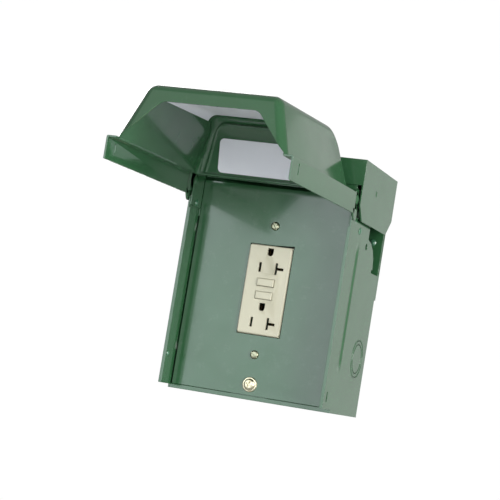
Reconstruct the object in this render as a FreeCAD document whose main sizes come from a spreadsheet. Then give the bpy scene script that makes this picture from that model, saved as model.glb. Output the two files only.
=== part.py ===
import FreeCAD, Part
import math
import os

import Sketcher

# Outdoor power outlet panel: a painted steel box with a hinged drawn lid over a recessed
# dead front panel that carries a ground-fault receptacle.
# Frame: X to the right seen from the front, Y backwards into the wall, Z up. The origin is
# the centre of the four wall screw holes, on the rear face of the mounting plate.
# The receptacle's centre is at the same height as the origin. Sizes are in millimetres.

doc = FreeCAD.newDocument("power_outlet_panel")
dims = doc.addObject("Spreadsheet::Sheet", "dims")

SIZES = [
    # Enclosure
    ("body_width", 128.0, "outside width across the side walls"),
    ("body_depth", 92.2, "side wall front edge to the back face of the box"),
    ("sheet", 1.2, "steel sheet thickness"),
    ("standoff", 3.2, "gap that the mounting plate keeps between box and wall"),
    ("below_centre", 82.0, "receptacle centre down to the bottom of the box"),
    ("above_centre", 101.5, "receptacle centre up to the top of the side walls"),
    ("front_strip_lift", 2.5, "side wall front strips end this far above the bottom"),
    ("recess", 20.4, "depth of the panel behind the side wall front edges"),
    ("hem_width", 6.0, "folded hem along the side wall front edges"),
    ("hem_top", 52.5, "top of the hem"),
    ("corner_cut_height", 60.8, "height of the cut that frees the lid ears"),
    ("corner_cut_back", 3.0, "the cut ends this far in front of the panel"),
    ("bead_width", 8.0, "outside width of the pressed bead"),
    ("bead_length", 97.0, "length of the pressed bead"),
    ("bead_middle", -3.8, "height of the middle of the bead"),
    ("bead_depth", 2.2, "depth of the pressed bead"),
    ("seat_gap", 0.3, "clearance between parts that are not clamped"),
    ("knockout_large", 28.2, "outer knockout diameter"),
    ("knockout_small", 22.2, "inner knockout diameter"),
    ("knockout_slit", 0.5, "width of the knockout slits"),
    ("knockout_tie", 2.4, "width of the ties that hold the knockout"),
    ("knockout_overlap", 0.2, "ties reach this far past the knockout"),
    ("knockout_height", -38.5, "height of the side knockouts"),
    ("knockout_from_back", 22.8, "side knockout centre in front of the back"),
    ("cutout_low", 27.5, "bottom of the side wiring cutout"),
    ("cutout_high", 66.0, "top of the side wiring cutout"),
    ("cutout_round", 24.0, "rounding of the wall at the cutout"),
    ("cutout_rise", 20.4, "height of that rounding"),
    ("cutout_step", 2.5, "step at the foot of the cutout"),
    ("cutout_nick", 3.0, "nick in front of the cutout foot"),
    ("cutout_corner", 17.3, "lower cutout corner in front of the back"),
    ("seal_slot_length", 7.5, "length of the seal slots"),
    ("seal_slot_width", 2.2, "width of the seal slots"),
    ("seal_slot_height", -70.7, "height of the slots in the side walls"),
    ("seal_slot_forward", 13.2, "side wall slot in front of the panel"),
    ("vent_hole", 4.8, "diameter of the small upper side hole"),
    ("vent_hole_height", 44.4, "height of the small upper side hole"),
    ("vent_hole_back", 27.4, "small side hole behind the panel"),
    ("access_hole", 14.0, "screwdriver holes in the box back"),
    ("bottom_flange", 9.0, "height of the bottom plate's flanges"),
    ("tool_reach", 1.0, "cutting tools reach this far past a face"),
    # Mounting plate
    ("mount_hole", 6.4, "wall screw hole diameter"),
    ("mount_pitch_wide", 64.0, "wall screw holes, centre to centre across"),
    ("mount_pitch_high", 96.0, "wall screw holes, centre to centre up"),
    ("plate_shoulder", 9.0, "height where the mounting plate narrows"),
    ("plate_tongue", 90.0, "width of the lower tongue of the mounting plate"),
    ("plate_foot", 62.0, "lower end of the tongue below the centre"),
    ("plate_top", 100.0, "upper end of the mounting plate"),
    ("spacer_rivet_side", 8.0, "spacer rivets in from the side faces"),
    ("spacer_rivet_low", 18.0, "height of the lower spacer rivets"),
    ("spacer_rivet_high", 53.0, "height of the upper spacer rivets"),
    # Hood
    ("hood_gap", 2.0, "space between side wall and hood flap"),
    ("hood_top", 103.0, "top of the hood"),
    ("hood_forward", 16.0, "hood front wall in front of the panel"),
    ("hood_front_low", 84.0, "lower edge of the hood front wall"),
    ("hood_flap_low", 59.0, "lower edge of the side flaps"),
    ("hood_flap_chamfer", 10.0, "corner cuts of the side flaps"),
    ("hood_rear_chamfer", 12.0, "rear corner cuts of the side flaps"),
    ("hood_back_gap", 0.5, "hood rear edge in front of the wall"),
    ("dimple_back", 20.5, "hood dimple behind the panel"),
    ("dimple_height", 83.7, "height of the hood dimples"),
    ("dimple_size", 4.4, "diameter of the hood dimples"),
    ("dimple_wall", 0.8, "wall round the dimples"),
    # Lid
    ("pivot_forward", 16.5, "hinge axis in front of the panel"),
    ("pivot_height", 73.0, "height of the hinge axis"),
    ("lid_side_gap", 0.4, "space between side wall and lid skirt"),
    ("lid_length", 158.0, "hinge axis to the free edge of the lid"),
    ("rim_drop", 10.8, "lid rim below the hinge axis, lid open"),
    ("skirt_height", 16.0, "height of the lid skirt"),
    ("skirt_start", 7.0, "rear end of the skirt in front of the hinge axis"),
    ("ledge_width", 5.7, "flat ledge between skirt and dome"),
    ("dome_back", 8.6, "dome base in front of the hinge axis"),
    ("dome_back_run", 8.4, "how far the sloping end wall runs forward"),
    ("dome_front_run", 11.0, "how far the leaning free end runs back"),
    ("dome_height_back", 42.6, "dome height at the hinge end"),
    ("dome_height_front", 39.2, "dome height at the free end"),
    ("dome_taper", 14.1, "how far each dome side leans in"),
    ("dome_edge", 8.0, "rounding along the dome roof and down its corners"),
    ("dome_front_edge", 7.0, "rounding between roof and free end"),
    ("dome_back_edge", 18.0, "rounding between roof and hinge end"),
    ("arch_height", 27.5, "height of the cord opening above the ledge"),
    ("arch_top", 68.0, "width of the cord opening at its top"),
    ("arch_base", 115.0, "width of the cord opening at the ledge"),
    ("arch_knee", 107.0, "width of the cord opening at its knee"),
    ("arch_knee_height", 5.4, "height of the knee above the ledge"),
    ("arch_foot_height", 1.4, "height above the ledge where the opening is widest"),
    ("arch_round", 3.0, "rounded upper corners of the cord opening"),
    ("ear_radius", 7.5, "radius of the lid ears round the hinge"),
    ("tail_drop", 4.6, "tail under the rear end of the skirt"),
    ("tail_run", 4.0, "length of the slope of the tail"),
    ("lid_droop", 1.0, "degrees that the open lid hangs below level"),
    ("label_margin", 17.9, "label end to the foot of the dome side"),
    ("label_height", 25.3, "height of the plain label"),
    ("label_thickness", 0.2, "thickness of the plain label"),
    ("label_rise", 1.9, "lower edge of the label above the ledge"),
    # Hinge hardware
    ("bracket_front", 0.5, "hinge bracket behind the wall front edge"),
    ("bracket_back", 10.0, "hinge bracket behind the panel"),
    ("bracket_low", 49.0, "lower edge of the hinge bracket"),
    ("bracket_front_low", 54.5, "lower edge of the hinge bracket in front of the panel"),
    ("bracket_top", 80.0, "upper edge of the hinge bracket"),
    ("bracket_round", 8.0, "rounded upper corner of the hinge bracket"),
    ("pivot_pin", 4.0, "diameter of the hinge rivet"),
    ("pivot_play", 0.06, "radial clearance of the lid ears on the rivet"),
    ("ear_gap", 0.3, "side clearance of the lid ears"),
    ("rivet_shank", 3.2, "diameter of the small rivets"),
    ("rivet_head", 5.6, "head diameter of the small rivets"),
    ("rivet_head_height", 1.2, "head height of the small rivets"),
    ("hinge_collar_rim", 1.5, "collar round the hinge rivet"),
    ("hinge_head_rim", 1.7, "hinge rivet head beyond its shank"),
    ("front_rivet_forward", 9.5, "front bracket rivet in front of the panel"),
    ("front_rivet_height", 57.6, "height of the front bracket rivet"),
    ("rear_rivet_back", 4.5, "rear bracket rivet behind the panel"),
    ("rear_rivet_height", 52.8, "height of the rear bracket rivet"),
    ("hem_rivet_forward", 17.0, "hem rivet in front of the panel"),
    ("hem_rivet_height", -57.5, "height of the hem rivet"),
    ("hem_rivet_head", 4.2, "head diameter of the hem rivet"),
    # Panel
    ("panel_top", 77.0, "top edge of the dead front panel"),
    ("panel_bottom", 78.6, "bottom edge of the panel below the centre"),
    ("panel_side_gap", 1.5, "gap between panel edge and side wall"),
    ("panel_lip", 8.0, "depth of the rear lip along the panel bottom"),
    ("panel_lip_clear", 18.0, "rear lip from the middle of the panel"),
    ("panel_lip_end", 4.0, "rear lip in from the panel side"),
    ("tab_width", 12.0, "width of the panel hooks"),
    ("tab_offset", 35.0, "panel hooks from the middle"),
    ("tab_height", 74.0, "height of the panel hooks"),
    ("tab_length", 5.0, "length of the panel hooks"),
    ("rail_low", 66.0, "lower edge of the header rail"),
    ("rail_lip", 8.0, "rail front lip above the hood front's lower edge"),
    ("panel_screw_drop", 70.6, "large panel screw below the centre"),
    ("panel_screw", 6.0, "large panel screw shank diameter"),
    ("panel_screw_head", 11.4, "large panel screw head diameter"),
    ("panel_screw_head_height", 2.4, "large panel screw head height"),
    ("panel_screw_rim", 1.0, "straight rim of the large screw head"),
    ("panel_screw_slot", 1.2, "width of the large screw's slot"),
    ("panel_screw_length", 14.0, "large panel screw length under the head"),
    ("foot_angle_width", 28.0, "width of the angle behind the large screw"),
    ("foot_angle_depth", 18.0, "depth of that angle"),
    ("foot_angle_rise", 3.0, "angle above the large screw head"),
    ("plate_screw_pitch", 96.8, "receptacle plate screws, centre to centre"),
    ("plate_screw", 3.4, "plate screw shank diameter"),
    ("plate_screw_head", 6.6, "plate screw head diameter"),
    ("plate_screw_head_height", 1.7, "plate screw head height"),
    ("plate_screw_length", 8.0, "plate screw length under the head"),
    ("plate_screw_slot", 0.8, "width of the small screws' slots"),
    ("screw_slot", 1.0, "width of the screwdriver slots"),
    ("screw_slot_depth", 0.9, "depth of the screwdriver slots"),
    ("thread_play", 0.05, "radial gap between a screw and its hole"),
    # Receptacle
    ("face_width", 33.3, "width of the receptacle face"),
    ("face_height", 66.8, "height of the receptacle face"),
    ("face_proud", 1.5, "receptacle face in front of the panel"),
    ("face_gap", 0.3, "gap round the receptacle face"),
    ("face_wall", 2.0, "front wall of the receptacle face"),
    ("face_round", 1.6, "rounded edges of the receptacle face"),
    ("upper_blades", 16.6, "height of the upper row of slots"),
    ("outlet_pitch", 41.2, "upper to lower outlet"),
    ("blade_pitch", 12.7, "hot to neutral slot"),
    ("blade_slot", 2.0, "width of a blade slot"),
    ("hot_slot_height", 7.2, "height of the hot slot"),
    ("neutral_slot_height", 8.8, "height of the neutral slot"),
    ("tee_length", 5.8, "length of the side arm of the neutral slot"),
    ("ground_rise", 11.9, "ground hole above the slots"),
    ("ground_width", 4.8, "width of the ground hole"),
    ("ground_height", 5.8, "height of the ground hole"),
    ("ground_foot", 2.4, "width of the ground hole at its foot"),
    ("ground_bend", 4.2, "width of the ground hole at its bend"),
    ("ground_bend_rise", 0.8, "height of that bend"),
    ("ground_shoulder", 2.3, "height where the ground hole is full width"),
    ("button_width", 13.0, "width of the two buttons"),
    ("button_height", 5.3, "height of the two buttons"),
    ("button_proud", 0.8, "buttons in front of the face"),
    ("button_play", 0.35, "clearance round the buttons"),
    ("button_flange", 0.9, "flange round the rear of the buttons"),
    ("button_flange_depth", 1.0, "thickness of that flange"),
    ("button_round", 0.5, "rounded front edge of the buttons"),
    ("button_depth", 5.6, "length of the buttons"),
    ("test_height", 5.5, "height of the test button"),
    ("reset_height", -4.2, "height of the reset button"),
    ("housing_post", 7.0, "width of the corner posts in the housing"),
    ("housing_screw", 2.6, "diameter of the four housing screws"),
    ("ground_screw_side", 11.0, "ground screw from the middle"),
    ("ground_screw_drop", 6.0, "ground screw below the housing"),
    ("yoke_thickness", 1.3, "thickness of the mounting yoke"),
    ("yoke_length", 106.0, "length of the mounting yoke"),
    ("yoke_width", 34.0, "width of the yoke ears"),
    ("housing_width", 43.0, "width of the receptacle housing"),
    ("housing_end_clear", 3.2, "ground clips to the end wall of the housing"),
    ("housing_depth", 28.0, "depth of the receptacle housing"),
    ("housing_wall", 1.8, "wall of the receptacle housing"),
    ("housing_round", 1.2, "rounded rear edges of the housing"),
    ("flange_depth", 2.4, "depth of the flange behind the yoke"),
    ("box_screw_pitch", 83.3, "unused yoke holes, centre to centre"),
    ("box_screw_hole", 4.4, "diameter of the unused yoke holes"),
    ("board_back", 15.0, "front of the circuit board behind the panel"),
    ("board_thickness", 1.6, "thickness of the circuit board"),
    ("contact_sheet", 0.8, "thickness of the contact strips"),
    ("contact_depth", 9.0, "depth of the contact clips"),
    ("contact_height", 6.0, "height of the contact clips"),
    ("ground_clip_height", 4.0, "height of the ground clips"),
    ("terminal_head", 7.2, "head diameter of the terminal screws"),
    ("terminal_head_height", 2.6, "head height of the terminal screws"),
    ("terminal_shank", 3.6, "shank diameter of the terminal screws"),
    ("terminal_back", 10.5, "terminal screws behind the panel"),
    ("terminal_pitch", 28.0, "terminal screws, centre to centre"),
    ("terminal_dome", 0.8, "domed part of the terminal screw heads"),
    ("coil_radius", 6.0, "mean radius of the sensing coil"),
    ("coil_section", 4.4, "thickness of the sensing coil"),
    ("coil_side", 7.0, "sensing coil from the middle"),
    ("coil_drop", 16.0, "sensing coil below the centre"),
    ("solenoid_diameter", 10.0, "diameter of the trip solenoid"),
    ("solenoid_length", 18.0, "length of the trip solenoid"),
    ("solenoid_side", 8.0, "solenoid from the middle"),
    ("solenoid_low", 4.0, "lower end of the solenoid"),
    ("plunger_diameter", 3.6, "diameter of the solenoid plunger"),
    ("plunger_gap", 0.3, "gap round the solenoid plunger"),
    ("plunger_length", 22.0, "length of the solenoid plunger"),
    ("plunger_inset", 3.0, "plunger end inside the top of the solenoid"),
    ("spring_diameter", 4.6, "outside diameter of the button springs"),
    ("spring_wire", 0.7, "wall of the button springs"),
    # Ground bar
    ("bar_length", 38.0, "length of the ground bar"),
    ("bar_width", 8.0, "width of the ground bar"),
    ("bar_depth", 7.0, "depth of the ground bar"),
    ("bar_side_gap", 12.8, "middle of the ground bar in from the side wall"),
    ("bar_height", -48.0, "height of the middle of the ground bar"),
    ("bar_foot", 2.5, "feet that keep the ground bar off the back"),
    ("bar_foot_length", 8.0, "length of those feet"),
    ("bar_wire_hole", 3.4, "wire holes of the ground bar"),
    ("bar_wire_place", 4.2, "wire holes behind the bar's front"),
    ("bar_screw_out", 3.0, "clamp screws in front of the bar"),
    ("bar_screw_in", 2.2, "clamp screws inside the bar"),
    ("bar_fixing_out", 1.2, "fixing screw in front of the bar"),
    ("bar_screw_pitch", 9.0, "ground bar screws, centre to centre"),
]

# Derived places, written as expressions over the sheet
HALF = "(dims.body_width / 2)"
INNER = f"({HALF} - dims.sheet)"
BACK = "(-dims.standoff)"
BACK_INNER = f"({BACK} - dims.sheet)"
FRONT = f"({BACK} - dims.body_depth)"
PANEL = f"({FRONT} + dims.recess)"
PANEL_BACK = f"({PANEL} + dims.sheet)"
BOTTOM = "(-dims.below_centre)"
BOTTOM_INNER = f"({BOTTOM} + dims.sheet)"
TOP = "dims.above_centre"
STRIP_BOTTOM = f"({BOTTOM} + dims.front_strip_lift)"
BRACKET_FACE = f"({INNER} - dims.sheet)"
EAR_IN = f"({INNER} + dims.ear_gap)"
EAR_OUT = f"({EAR_IN} + dims.sheet)"
SKIRT_IN = f"({HALF} + dims.lid_side_gap)"
SKIRT_OUT = f"({SKIRT_IN} + dims.sheet)"
HOOD_IN = f"({HALF} + dims.hood_gap)"
HOOD_OUT = f"({HOOD_IN} + dims.sheet)"
HOOD_FRONT = f"({PANEL} - dims.hood_forward)"
PIVOT_Y = f"({PANEL} - dims.pivot_forward)"
PIVOT_Z = "dims.pivot_height"
RIM = f"({PIVOT_Z} - dims.rim_drop)"
EAR_REACH = f"({PIVOT_Z} - dims.corner_cut_height - dims.seat_gap)"
EAR_LOW = f"({PIVOT_Z} - sqrt({EAR_REACH}^2 - (dims.skirt_start + dims.sheet)^2))"
LEDGE = f"({RIM} + dims.skirt_height)"
LID_FREE = f"({PIVOT_Y} - dims.lid_length)"
DOME_SIDE = f"({SKIRT_OUT} - dims.ledge_width)"
DOME_REAR = f"({PIVOT_Y} - dims.dome_back)"
LABEL_HALF = f"({DOME_SIDE} - dims.label_margin)"
FACE = f"({PANEL} - dims.face_proud)"
YOKE_BACK = f"({PANEL_BACK} + dims.yoke_thickness)"
FLANGE_BACK = f"({YOKE_BACK} + dims.flange_depth)"
HOUSING_BACK = f"({FLANGE_BACK} + dims.housing_depth)"
BOARD = f"({PANEL} + dims.board_back)"
BOARD_BACK = f"({BOARD} + dims.board_thickness)"
LOWER_BLADES = "(dims.upper_blades - dims.outlet_pitch)"
GROUND_TOP = "(dims.upper_blades + dims.ground_rise + dims.ground_clip_height / 2)"
HOUSING_TALL = f"({GROUND_TOP} + dims.housing_end_clear + dims.housing_wall)"
SPACER_X = f"({HALF} - dims.spacer_rivet_side)"
BAR_X = f"(-({INNER} - dims.bar_side_gap))"
PAST = "dims.tool_reach"
BEAD_Y = f"({PANEL_BACK} + dims.seat_gap + dims.bead_width / 2)"

HOUSING_SCREW_HOLE = "(dims.housing_screw + 2 * dims.thread_play)"
RIVET_HOLE = "(dims.rivet_shank + 2 * dims.thread_play)"
TERMINAL_HOLE = "(dims.terminal_shank + 2 * dims.thread_play)"

pieces = []


def fill_sheet():
    """Writes each driving size to its own cell, with a note beside it."""
    for row, (name, size, note) in enumerate(SIZES, start=1):
        dims.set(f"A{row}", note)
        dims.set(f"B{row}", str(size))
        dims.setAlias(f"B{row}", name)
    doc.recompute()


def value(expression):
    """The number that an expression over the sheet gives."""
    return float(dims.evalExpression(str(expression)))


def minus(expression):
    """The expression with its sign turned."""
    return f"(-({expression}))"


def keep(obj, label):
    """Names a finished piece and adds it to those that are written out."""
    obj.Label = label
    pieces.append(obj)
    return obj


# Sketched bodies


def new_body(label):
    """A body for one sketched piece."""
    body = doc.addObject("PartDesign::Body", label + "_body")
    return keep(body, label)


def origin_plane(body, role):
    """One of the body's own origin planes or axes."""
    for feature in body.Origin.OriginFeatures:
        if feature.Role == role:
            return feature
    raise ValueError(role)


def tie(sketch, constraint, expression):
    """Adds a dimension to a sketch and binds it to an expression."""
    index = sketch.addConstraint(constraint)
    sketch.setExpression(f"Constraints[{index}]", str(expression))


def pin_point(sketch, geometry, point, place):
    """Holds a sketch point at a place given by two expressions."""
    across, up = place
    tie(sketch, Sketcher.Constraint("DistanceX", -1, 1, geometry, point, value(across)), across)
    tie(sketch, Sketcher.Constraint("DistanceY", -1, 1, geometry, point, value(up)), up)


def draw_polygon(sketch, corners):
    """A closed outline of straight lines through the corners."""
    points = [FreeCAD.Vector(value(across), value(up), 0) for across, up in corners]
    first = sketch.GeometryCount
    count = len(points)
    for index in range(count):
        sketch.addGeometry(Part.LineSegment(points[index], points[(index + 1) % count]), False)
    for index in range(count):
        after = first + (index + 1) % count
        sketch.addConstraint(Sketcher.Constraint("Coincident", first + index, 2, after, 1))
    for index, place in enumerate(corners):
        pin_point(sketch, first + index, 1, place)


def draw_circle(sketch, centre, diameter):
    """A circle with its centre and radius bound."""
    middle = FreeCAD.Vector(value(centre[0]), value(centre[1]), 0)
    radius = f"({diameter}) / 2"
    circle = Part.Circle(middle, FreeCAD.Vector(0, 0, 1), value(radius))
    index = sketch.addGeometry(circle, False)
    pin_point(sketch, index, 3, centre)
    tie(sketch, Sketcher.Constraint("Radius", index, value(radius)), radius)


def draw_slot(sketch, centre, half_run, diameter):
    """An upright slot with round ends: half_run is half the distance of its end centres."""
    across, up = centre
    radius = value(f"({diameter}) / 2")
    low = value(up) - value(half_run)
    high = value(up) + value(half_run)
    middle = value(across)
    normal = FreeCAD.Vector(0, 0, 1)
    upper_circle = Part.Circle(FreeCAD.Vector(middle, high, 0), normal, radius)
    lower_circle = Part.Circle(FreeCAD.Vector(middle, low, 0), normal, radius)
    upper = Part.ArcOfCircle(upper_circle, 0, math.pi)
    lower = Part.ArcOfCircle(lower_circle, math.pi, 2 * math.pi)
    top = sketch.addGeometry(upper, False)
    left_from = FreeCAD.Vector(middle - radius, high, 0)
    left_to = FreeCAD.Vector(middle - radius, low, 0)
    left = sketch.addGeometry(Part.LineSegment(left_from, left_to), False)
    base = sketch.addGeometry(lower, False)
    right_from = FreeCAD.Vector(middle + radius, low, 0)
    right_to = FreeCAD.Vector(middle + radius, high, 0)
    right = sketch.addGeometry(Part.LineSegment(right_from, right_to), False)
    for one, two in ((top, left), (left, base), (base, right), (right, top)):
        sketch.addConstraint(Sketcher.Constraint("Tangent", one, 2, two, 1))
    pin_point(sketch, top, 3, (across, f"({up}) + ({half_run})"))
    pin_point(sketch, base, 3, (across, f"({up}) - ({half_run})"))
    tie(sketch, Sketcher.Constraint("Radius", top, radius), f"({diameter}) / 2")


def sketch_on(body, plane, place, loops):
    """A sketch parallel to an origin plane, at a signed place along that plane's normal."""
    sketch = body.newObject("Sketcher::SketchObject", body.Label + "_sketch")
    sketch.AttachmentSupport = (origin_plane(body, plane + "_Plane"), [""])
    sketch.MapMode = "FlatFace"
    sketch.setExpression("AttachmentOffset.Base.z", str(place))
    for loop in loops:
        shape, details = loop[0], loop[1:]
        {"polygon": draw_polygon, "circle": draw_circle, "slot": draw_slot}[shape](sketch, *details)
    return sketch


def pad(body, plane, loops, low, high):
    """Adds material between two world places along the normal of a plane."""
    start = minus(high) if plane == "XZ" else low
    sketch = sketch_on(body, plane, start, loops)
    feature = body.newObject("PartDesign::Pad", body.Label + "_pad")
    feature.Profile = sketch
    feature.setExpression("Length", f"({high}) - ({low})")
    return feature


def pocket(body, plane, loops, low, high):
    """Removes material between two world places along the normal of a plane."""
    start = minus(low) if plane == "XZ" else high
    sketch = sketch_on(body, plane, start, loops)
    feature = body.newObject("PartDesign::Pocket", body.Label + "_pocket")
    feature.Profile = sketch
    feature.setExpression("Length", f"({high}) - ({low})")
    return feature


def rectangle(left, right, low, high):
    """A polygon loop for an upright rectangle."""
    return ("polygon", [(left, low), (right, low), (right, high), (left, high)])


def round_edges(body, radius, wanted):
    """Rounds the edges of the body's tip that the wanted function picks."""
    doc.recompute()
    tip = body.Tip
    names = [f"Edge{index}" for index, edge in enumerate(tip.Shape.Edges, start=1) if wanted(edge)]
    if not names:
        raise ValueError("no edge to round on " + body.Label)
    feature = body.newObject("PartDesign::Fillet", body.Label + "_fillet")
    feature.Base = (tip, names)
    feature.setExpression("Radius", radius)
    return feature


def along(edge, axis):
    """Whether a straight edge runs along a world axis."""
    if edge.Curve.TypeId != "Part::GeomLine":
        return False
    return abs(edge.tangentAt(edge.FirstParameter).dot(axis)) > 0.999


# Primitives

AXES = {"x": FreeCAD.Vector(1, 0, 0), "y": FreeCAD.Vector(0, 1, 0), "z": FreeCAD.Vector(0, 0, 1)}


def set_place(obj, x, y, z):
    """Binds the position of an object to three expressions."""
    for axis, expression in zip("xyz", (x, y, z)):
        obj.setExpression("Placement.Base." + axis, str(expression))


def block(x, y, z):
    """A box between low and high expressions on each axis."""
    box = doc.addObject("Part::Box", "block")
    for name, (low, high) in (("Length", x), ("Width", y), ("Height", z)):
        box.setExpression(name, f"({high}) - ({low})")
    set_place(box, x[0], y[0], z[0])
    return box


def rod(axis, across, low, high, diameter):
    """A cylinder along a world axis from low to high; across holds its two other places in X, Y, Z order."""
    cylinder = doc.addObject("Part::Cylinder", "rod")
    cylinder.Placement = FreeCAD.Placement(FreeCAD.Vector(), FreeCAD.Rotation(AXES["z"], AXES[axis]))
    cylinder.setExpression("Radius", f"({diameter}) / 2")
    cylinder.setExpression("Height", f"({high}) - ({low})")
    place = list(across)
    place.insert("xyz".index(axis), low)
    set_place(cylinder, *place)
    return cylinder


def dome_head(direction, seat, diameter, height):
    """A round head on a seat point, bulging along a signed axis such as +x or -y."""
    sign = 1 if direction[0] == "+" else -1
    axis = AXES[direction[1]] * sign
    radius = f"((({diameter}) / 2)^2 + ({height})^2) / (2 * ({height}))"
    sphere = doc.addObject("Part::Sphere", "head")
    sphere.Placement = FreeCAD.Placement(FreeCAD.Vector(), FreeCAD.Rotation(AXES["z"], axis))
    sphere.setExpression("Radius", radius)
    sphere.setExpression("Angle1", f"asin(({radius} - ({height})) / ({radius})) * 1 deg / 1 deg")
    place = list(seat)
    index = "xyz".index(direction[1])
    place[index] = f"({place[index]}) - ({sign}) * ({radius} - ({height}))"
    set_place(sphere, *place)
    return sphere


def join(objects):
    """One solid from several that touch or overlap."""
    fused = doc.addObject("Part::MultiFuse", "join")
    fused.Shapes = objects
    fused.Refine = True
    return fused


def remove(base, tools):
    """The base with the tools cut out of it."""
    result = doc.addObject("Part::Cut", "cut")
    result.Base = base
    result.Tool = tools[0] if len(tools) == 1 else join(tools)
    result.Refine = True
    return result


def group(objects):
    """Several separate solids kept as one piece."""
    compound = doc.addObject("Part::Compound", "group")
    compound.Links = objects
    return compound


def both_sides(expression):
    """An X place on the left and on the right."""
    return (minus(expression), expression)


def knockout_loops(centre):
    """Sketch loops of two concentric slits; ties are left by the caller."""
    loops = []
    for size in ("dims.knockout_large", "dims.knockout_small"):
        loops.append(("circle", centre, size))
        loops.append(("circle", centre, f"{size} - 2 * dims.knockout_slit"))
    return loops


def knockout_tie(centre):
    """The bar across a knockout that its ties are left from."""
    across, up = centre
    reach = "(dims.knockout_large / 2 + dims.knockout_overlap)"
    half = "dims.knockout_tie / 2"
    return rectangle(f"{across} - {reach}", f"{across} + {reach}", f"{up} - {half}", f"{up} + {half}")


# Enclosure


def wall_outline():
    """Side wall outline in Y and Z: the front strips end above the bottom, and the upper
    front corner is cut away for the lid ears."""
    cut_back = f"{PANEL} - dims.corner_cut_back"
    return ("polygon", [
        (FRONT, STRIP_BOTTOM),
        (PANEL, STRIP_BOTTOM),
        (PANEL, BOTTOM),
        (BACK, BOTTOM),
        (BACK, TOP),
        (cut_back, TOP),
        (cut_back, "dims.corner_cut_height"),
        (FRONT, "dims.corner_cut_height"),
    ])


def cutout_outline():
    """Wiring cutout at the upper rear of a side wall, left by a rounded wall corner."""
    edge = f"({BACK_INNER} - dims.cutout_corner)"
    low_step = "(dims.cutout_low + dims.cutout_step)"
    nick = f"{edge} - dims.cutout_nick"
    arc = [(f"{edge} - dims.cutout_round * {1 - math.cos(turn):.4f}",
            f"{low_step} + dims.cutout_rise * {math.sin(turn):.4f}")
           for turn in [math.radians(step) for step in (0, 22, 44, 66, 88)]]
    corners = [(BACK_INNER, "dims.cutout_low"), (nick, "dims.cutout_low"), (nick, low_step)]
    last = (arc[-1][0], "dims.cutout_high")
    return ("polygon", corners + arc + [last, (BACK_INNER, "dims.cutout_high")])


def side_sketches():
    """Every cut that goes through a side wall, in Y and Z."""
    slot_y = f"{PANEL} - dims.seal_slot_forward"
    half_run = "(dims.seal_slot_length - dims.seal_slot_width) / 2"
    rear_rivet = (f"{PANEL} + dims.rear_rivet_back", "dims.rear_rivet_height")
    front_rivet = (f"{PANEL} - dims.front_rivet_forward", "dims.front_rivet_height")
    vent = (f"{PANEL} + dims.vent_hole_back", "dims.vent_hole_height")
    return [
        cutout_outline(),
        ("slot", (slot_y, "dims.seal_slot_height"), half_run, "dims.seal_slot_width"),
        ("circle", rear_rivet, RIVET_HOLE),
        ("circle", front_rivet, RIVET_HOLE),
        ("circle", vent, "dims.vent_hole"),
    ]


def make_box_body():
    """The bent box body: two side walls with beads, hems, slots and knockouts, and the back."""
    body = new_body("box_body")
    for sign in (1, -1):
        inner = INNER if sign > 0 else minus(HALF)
        outer = HALF if sign > 0 else minus(INNER)
        pad(body, "YZ", [wall_outline()], inner, outer)
        pocket(body, "YZ", side_sketches(), inner, outer)
        if sign > 0:
            back_loop = rectangle(minus(HALF), HALF, BOTTOM, TOP)
            pad(body, "XZ", [back_loop], BACK_INNER, BACK)
    hem_loop = rectangle(FRONT, f"{FRONT} + dims.hem_width", STRIP_BOTTOM, "dims.hem_top")
    bead_low = "(dims.bead_middle - dims.bead_length / 2)"
    bead_high = "(dims.bead_middle + dims.bead_length / 2)"
    rib_half = "dims.bead_width / 2"
    rib_loop = rectangle(f"{BEAD_Y} - {rib_half}", f"{BEAD_Y} + {rib_half}", bead_low, bead_high)
    groove_half = "(dims.bead_width / 2 - dims.sheet)"
    groove = rectangle(f"{BEAD_Y} - {groove_half}", f"{BEAD_Y} + {groove_half}",
                       f"{bead_low} + dims.sheet", f"{bead_high} - dims.sheet")
    for sign in (1, -1):
        hem = (f"{INNER} - dims.sheet", INNER)
        rib = (f"{INNER} - dims.bead_depth", INNER)
        dent = (f"{HALF} - dims.bead_depth", HALF)
        knock = (INNER, HALF)
        if sign < 0:
            hem, rib, dent, knock = [(minus(high), minus(low)) for low, high in (hem, rib, dent, knock)]
        pad(body, "YZ", [hem_loop], *hem)
        pad(body, "YZ", [rib_loop], *rib)
        pocket(body, "YZ", [groove], *dent)
        centre = (f"{BACK} - dims.knockout_from_back", "dims.knockout_height")
        pocket(body, "YZ", knockout_loops(centre), *knock)
        pad(body, "YZ", [knockout_tie(centre)], *knock)
    hem_rivet_place = (f"{PANEL} - dims.hem_rivet_forward", "dims.hem_rivet_height")
    pocket(body, "YZ", [("circle", hem_rivet_place, RIVET_HOLE)], minus(HALF), minus(f"{INNER} - dims.sheet"))
    access = []
    for x in both_sides("dims.mount_pitch_wide / 2"):
        for z in both_sides("dims.mount_pitch_high / 2"):
            access.append(("circle", (x, z), "dims.access_hole"))
    for place in spacer_places():
        access.append(("circle", place, RIVET_HOLE))
    access.append(("circle", (BAR_X, "dims.bar_height"), TERMINAL_HOLE))
    pocket(body, "XZ", access, BACK_INNER, BACK)
    return body


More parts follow.
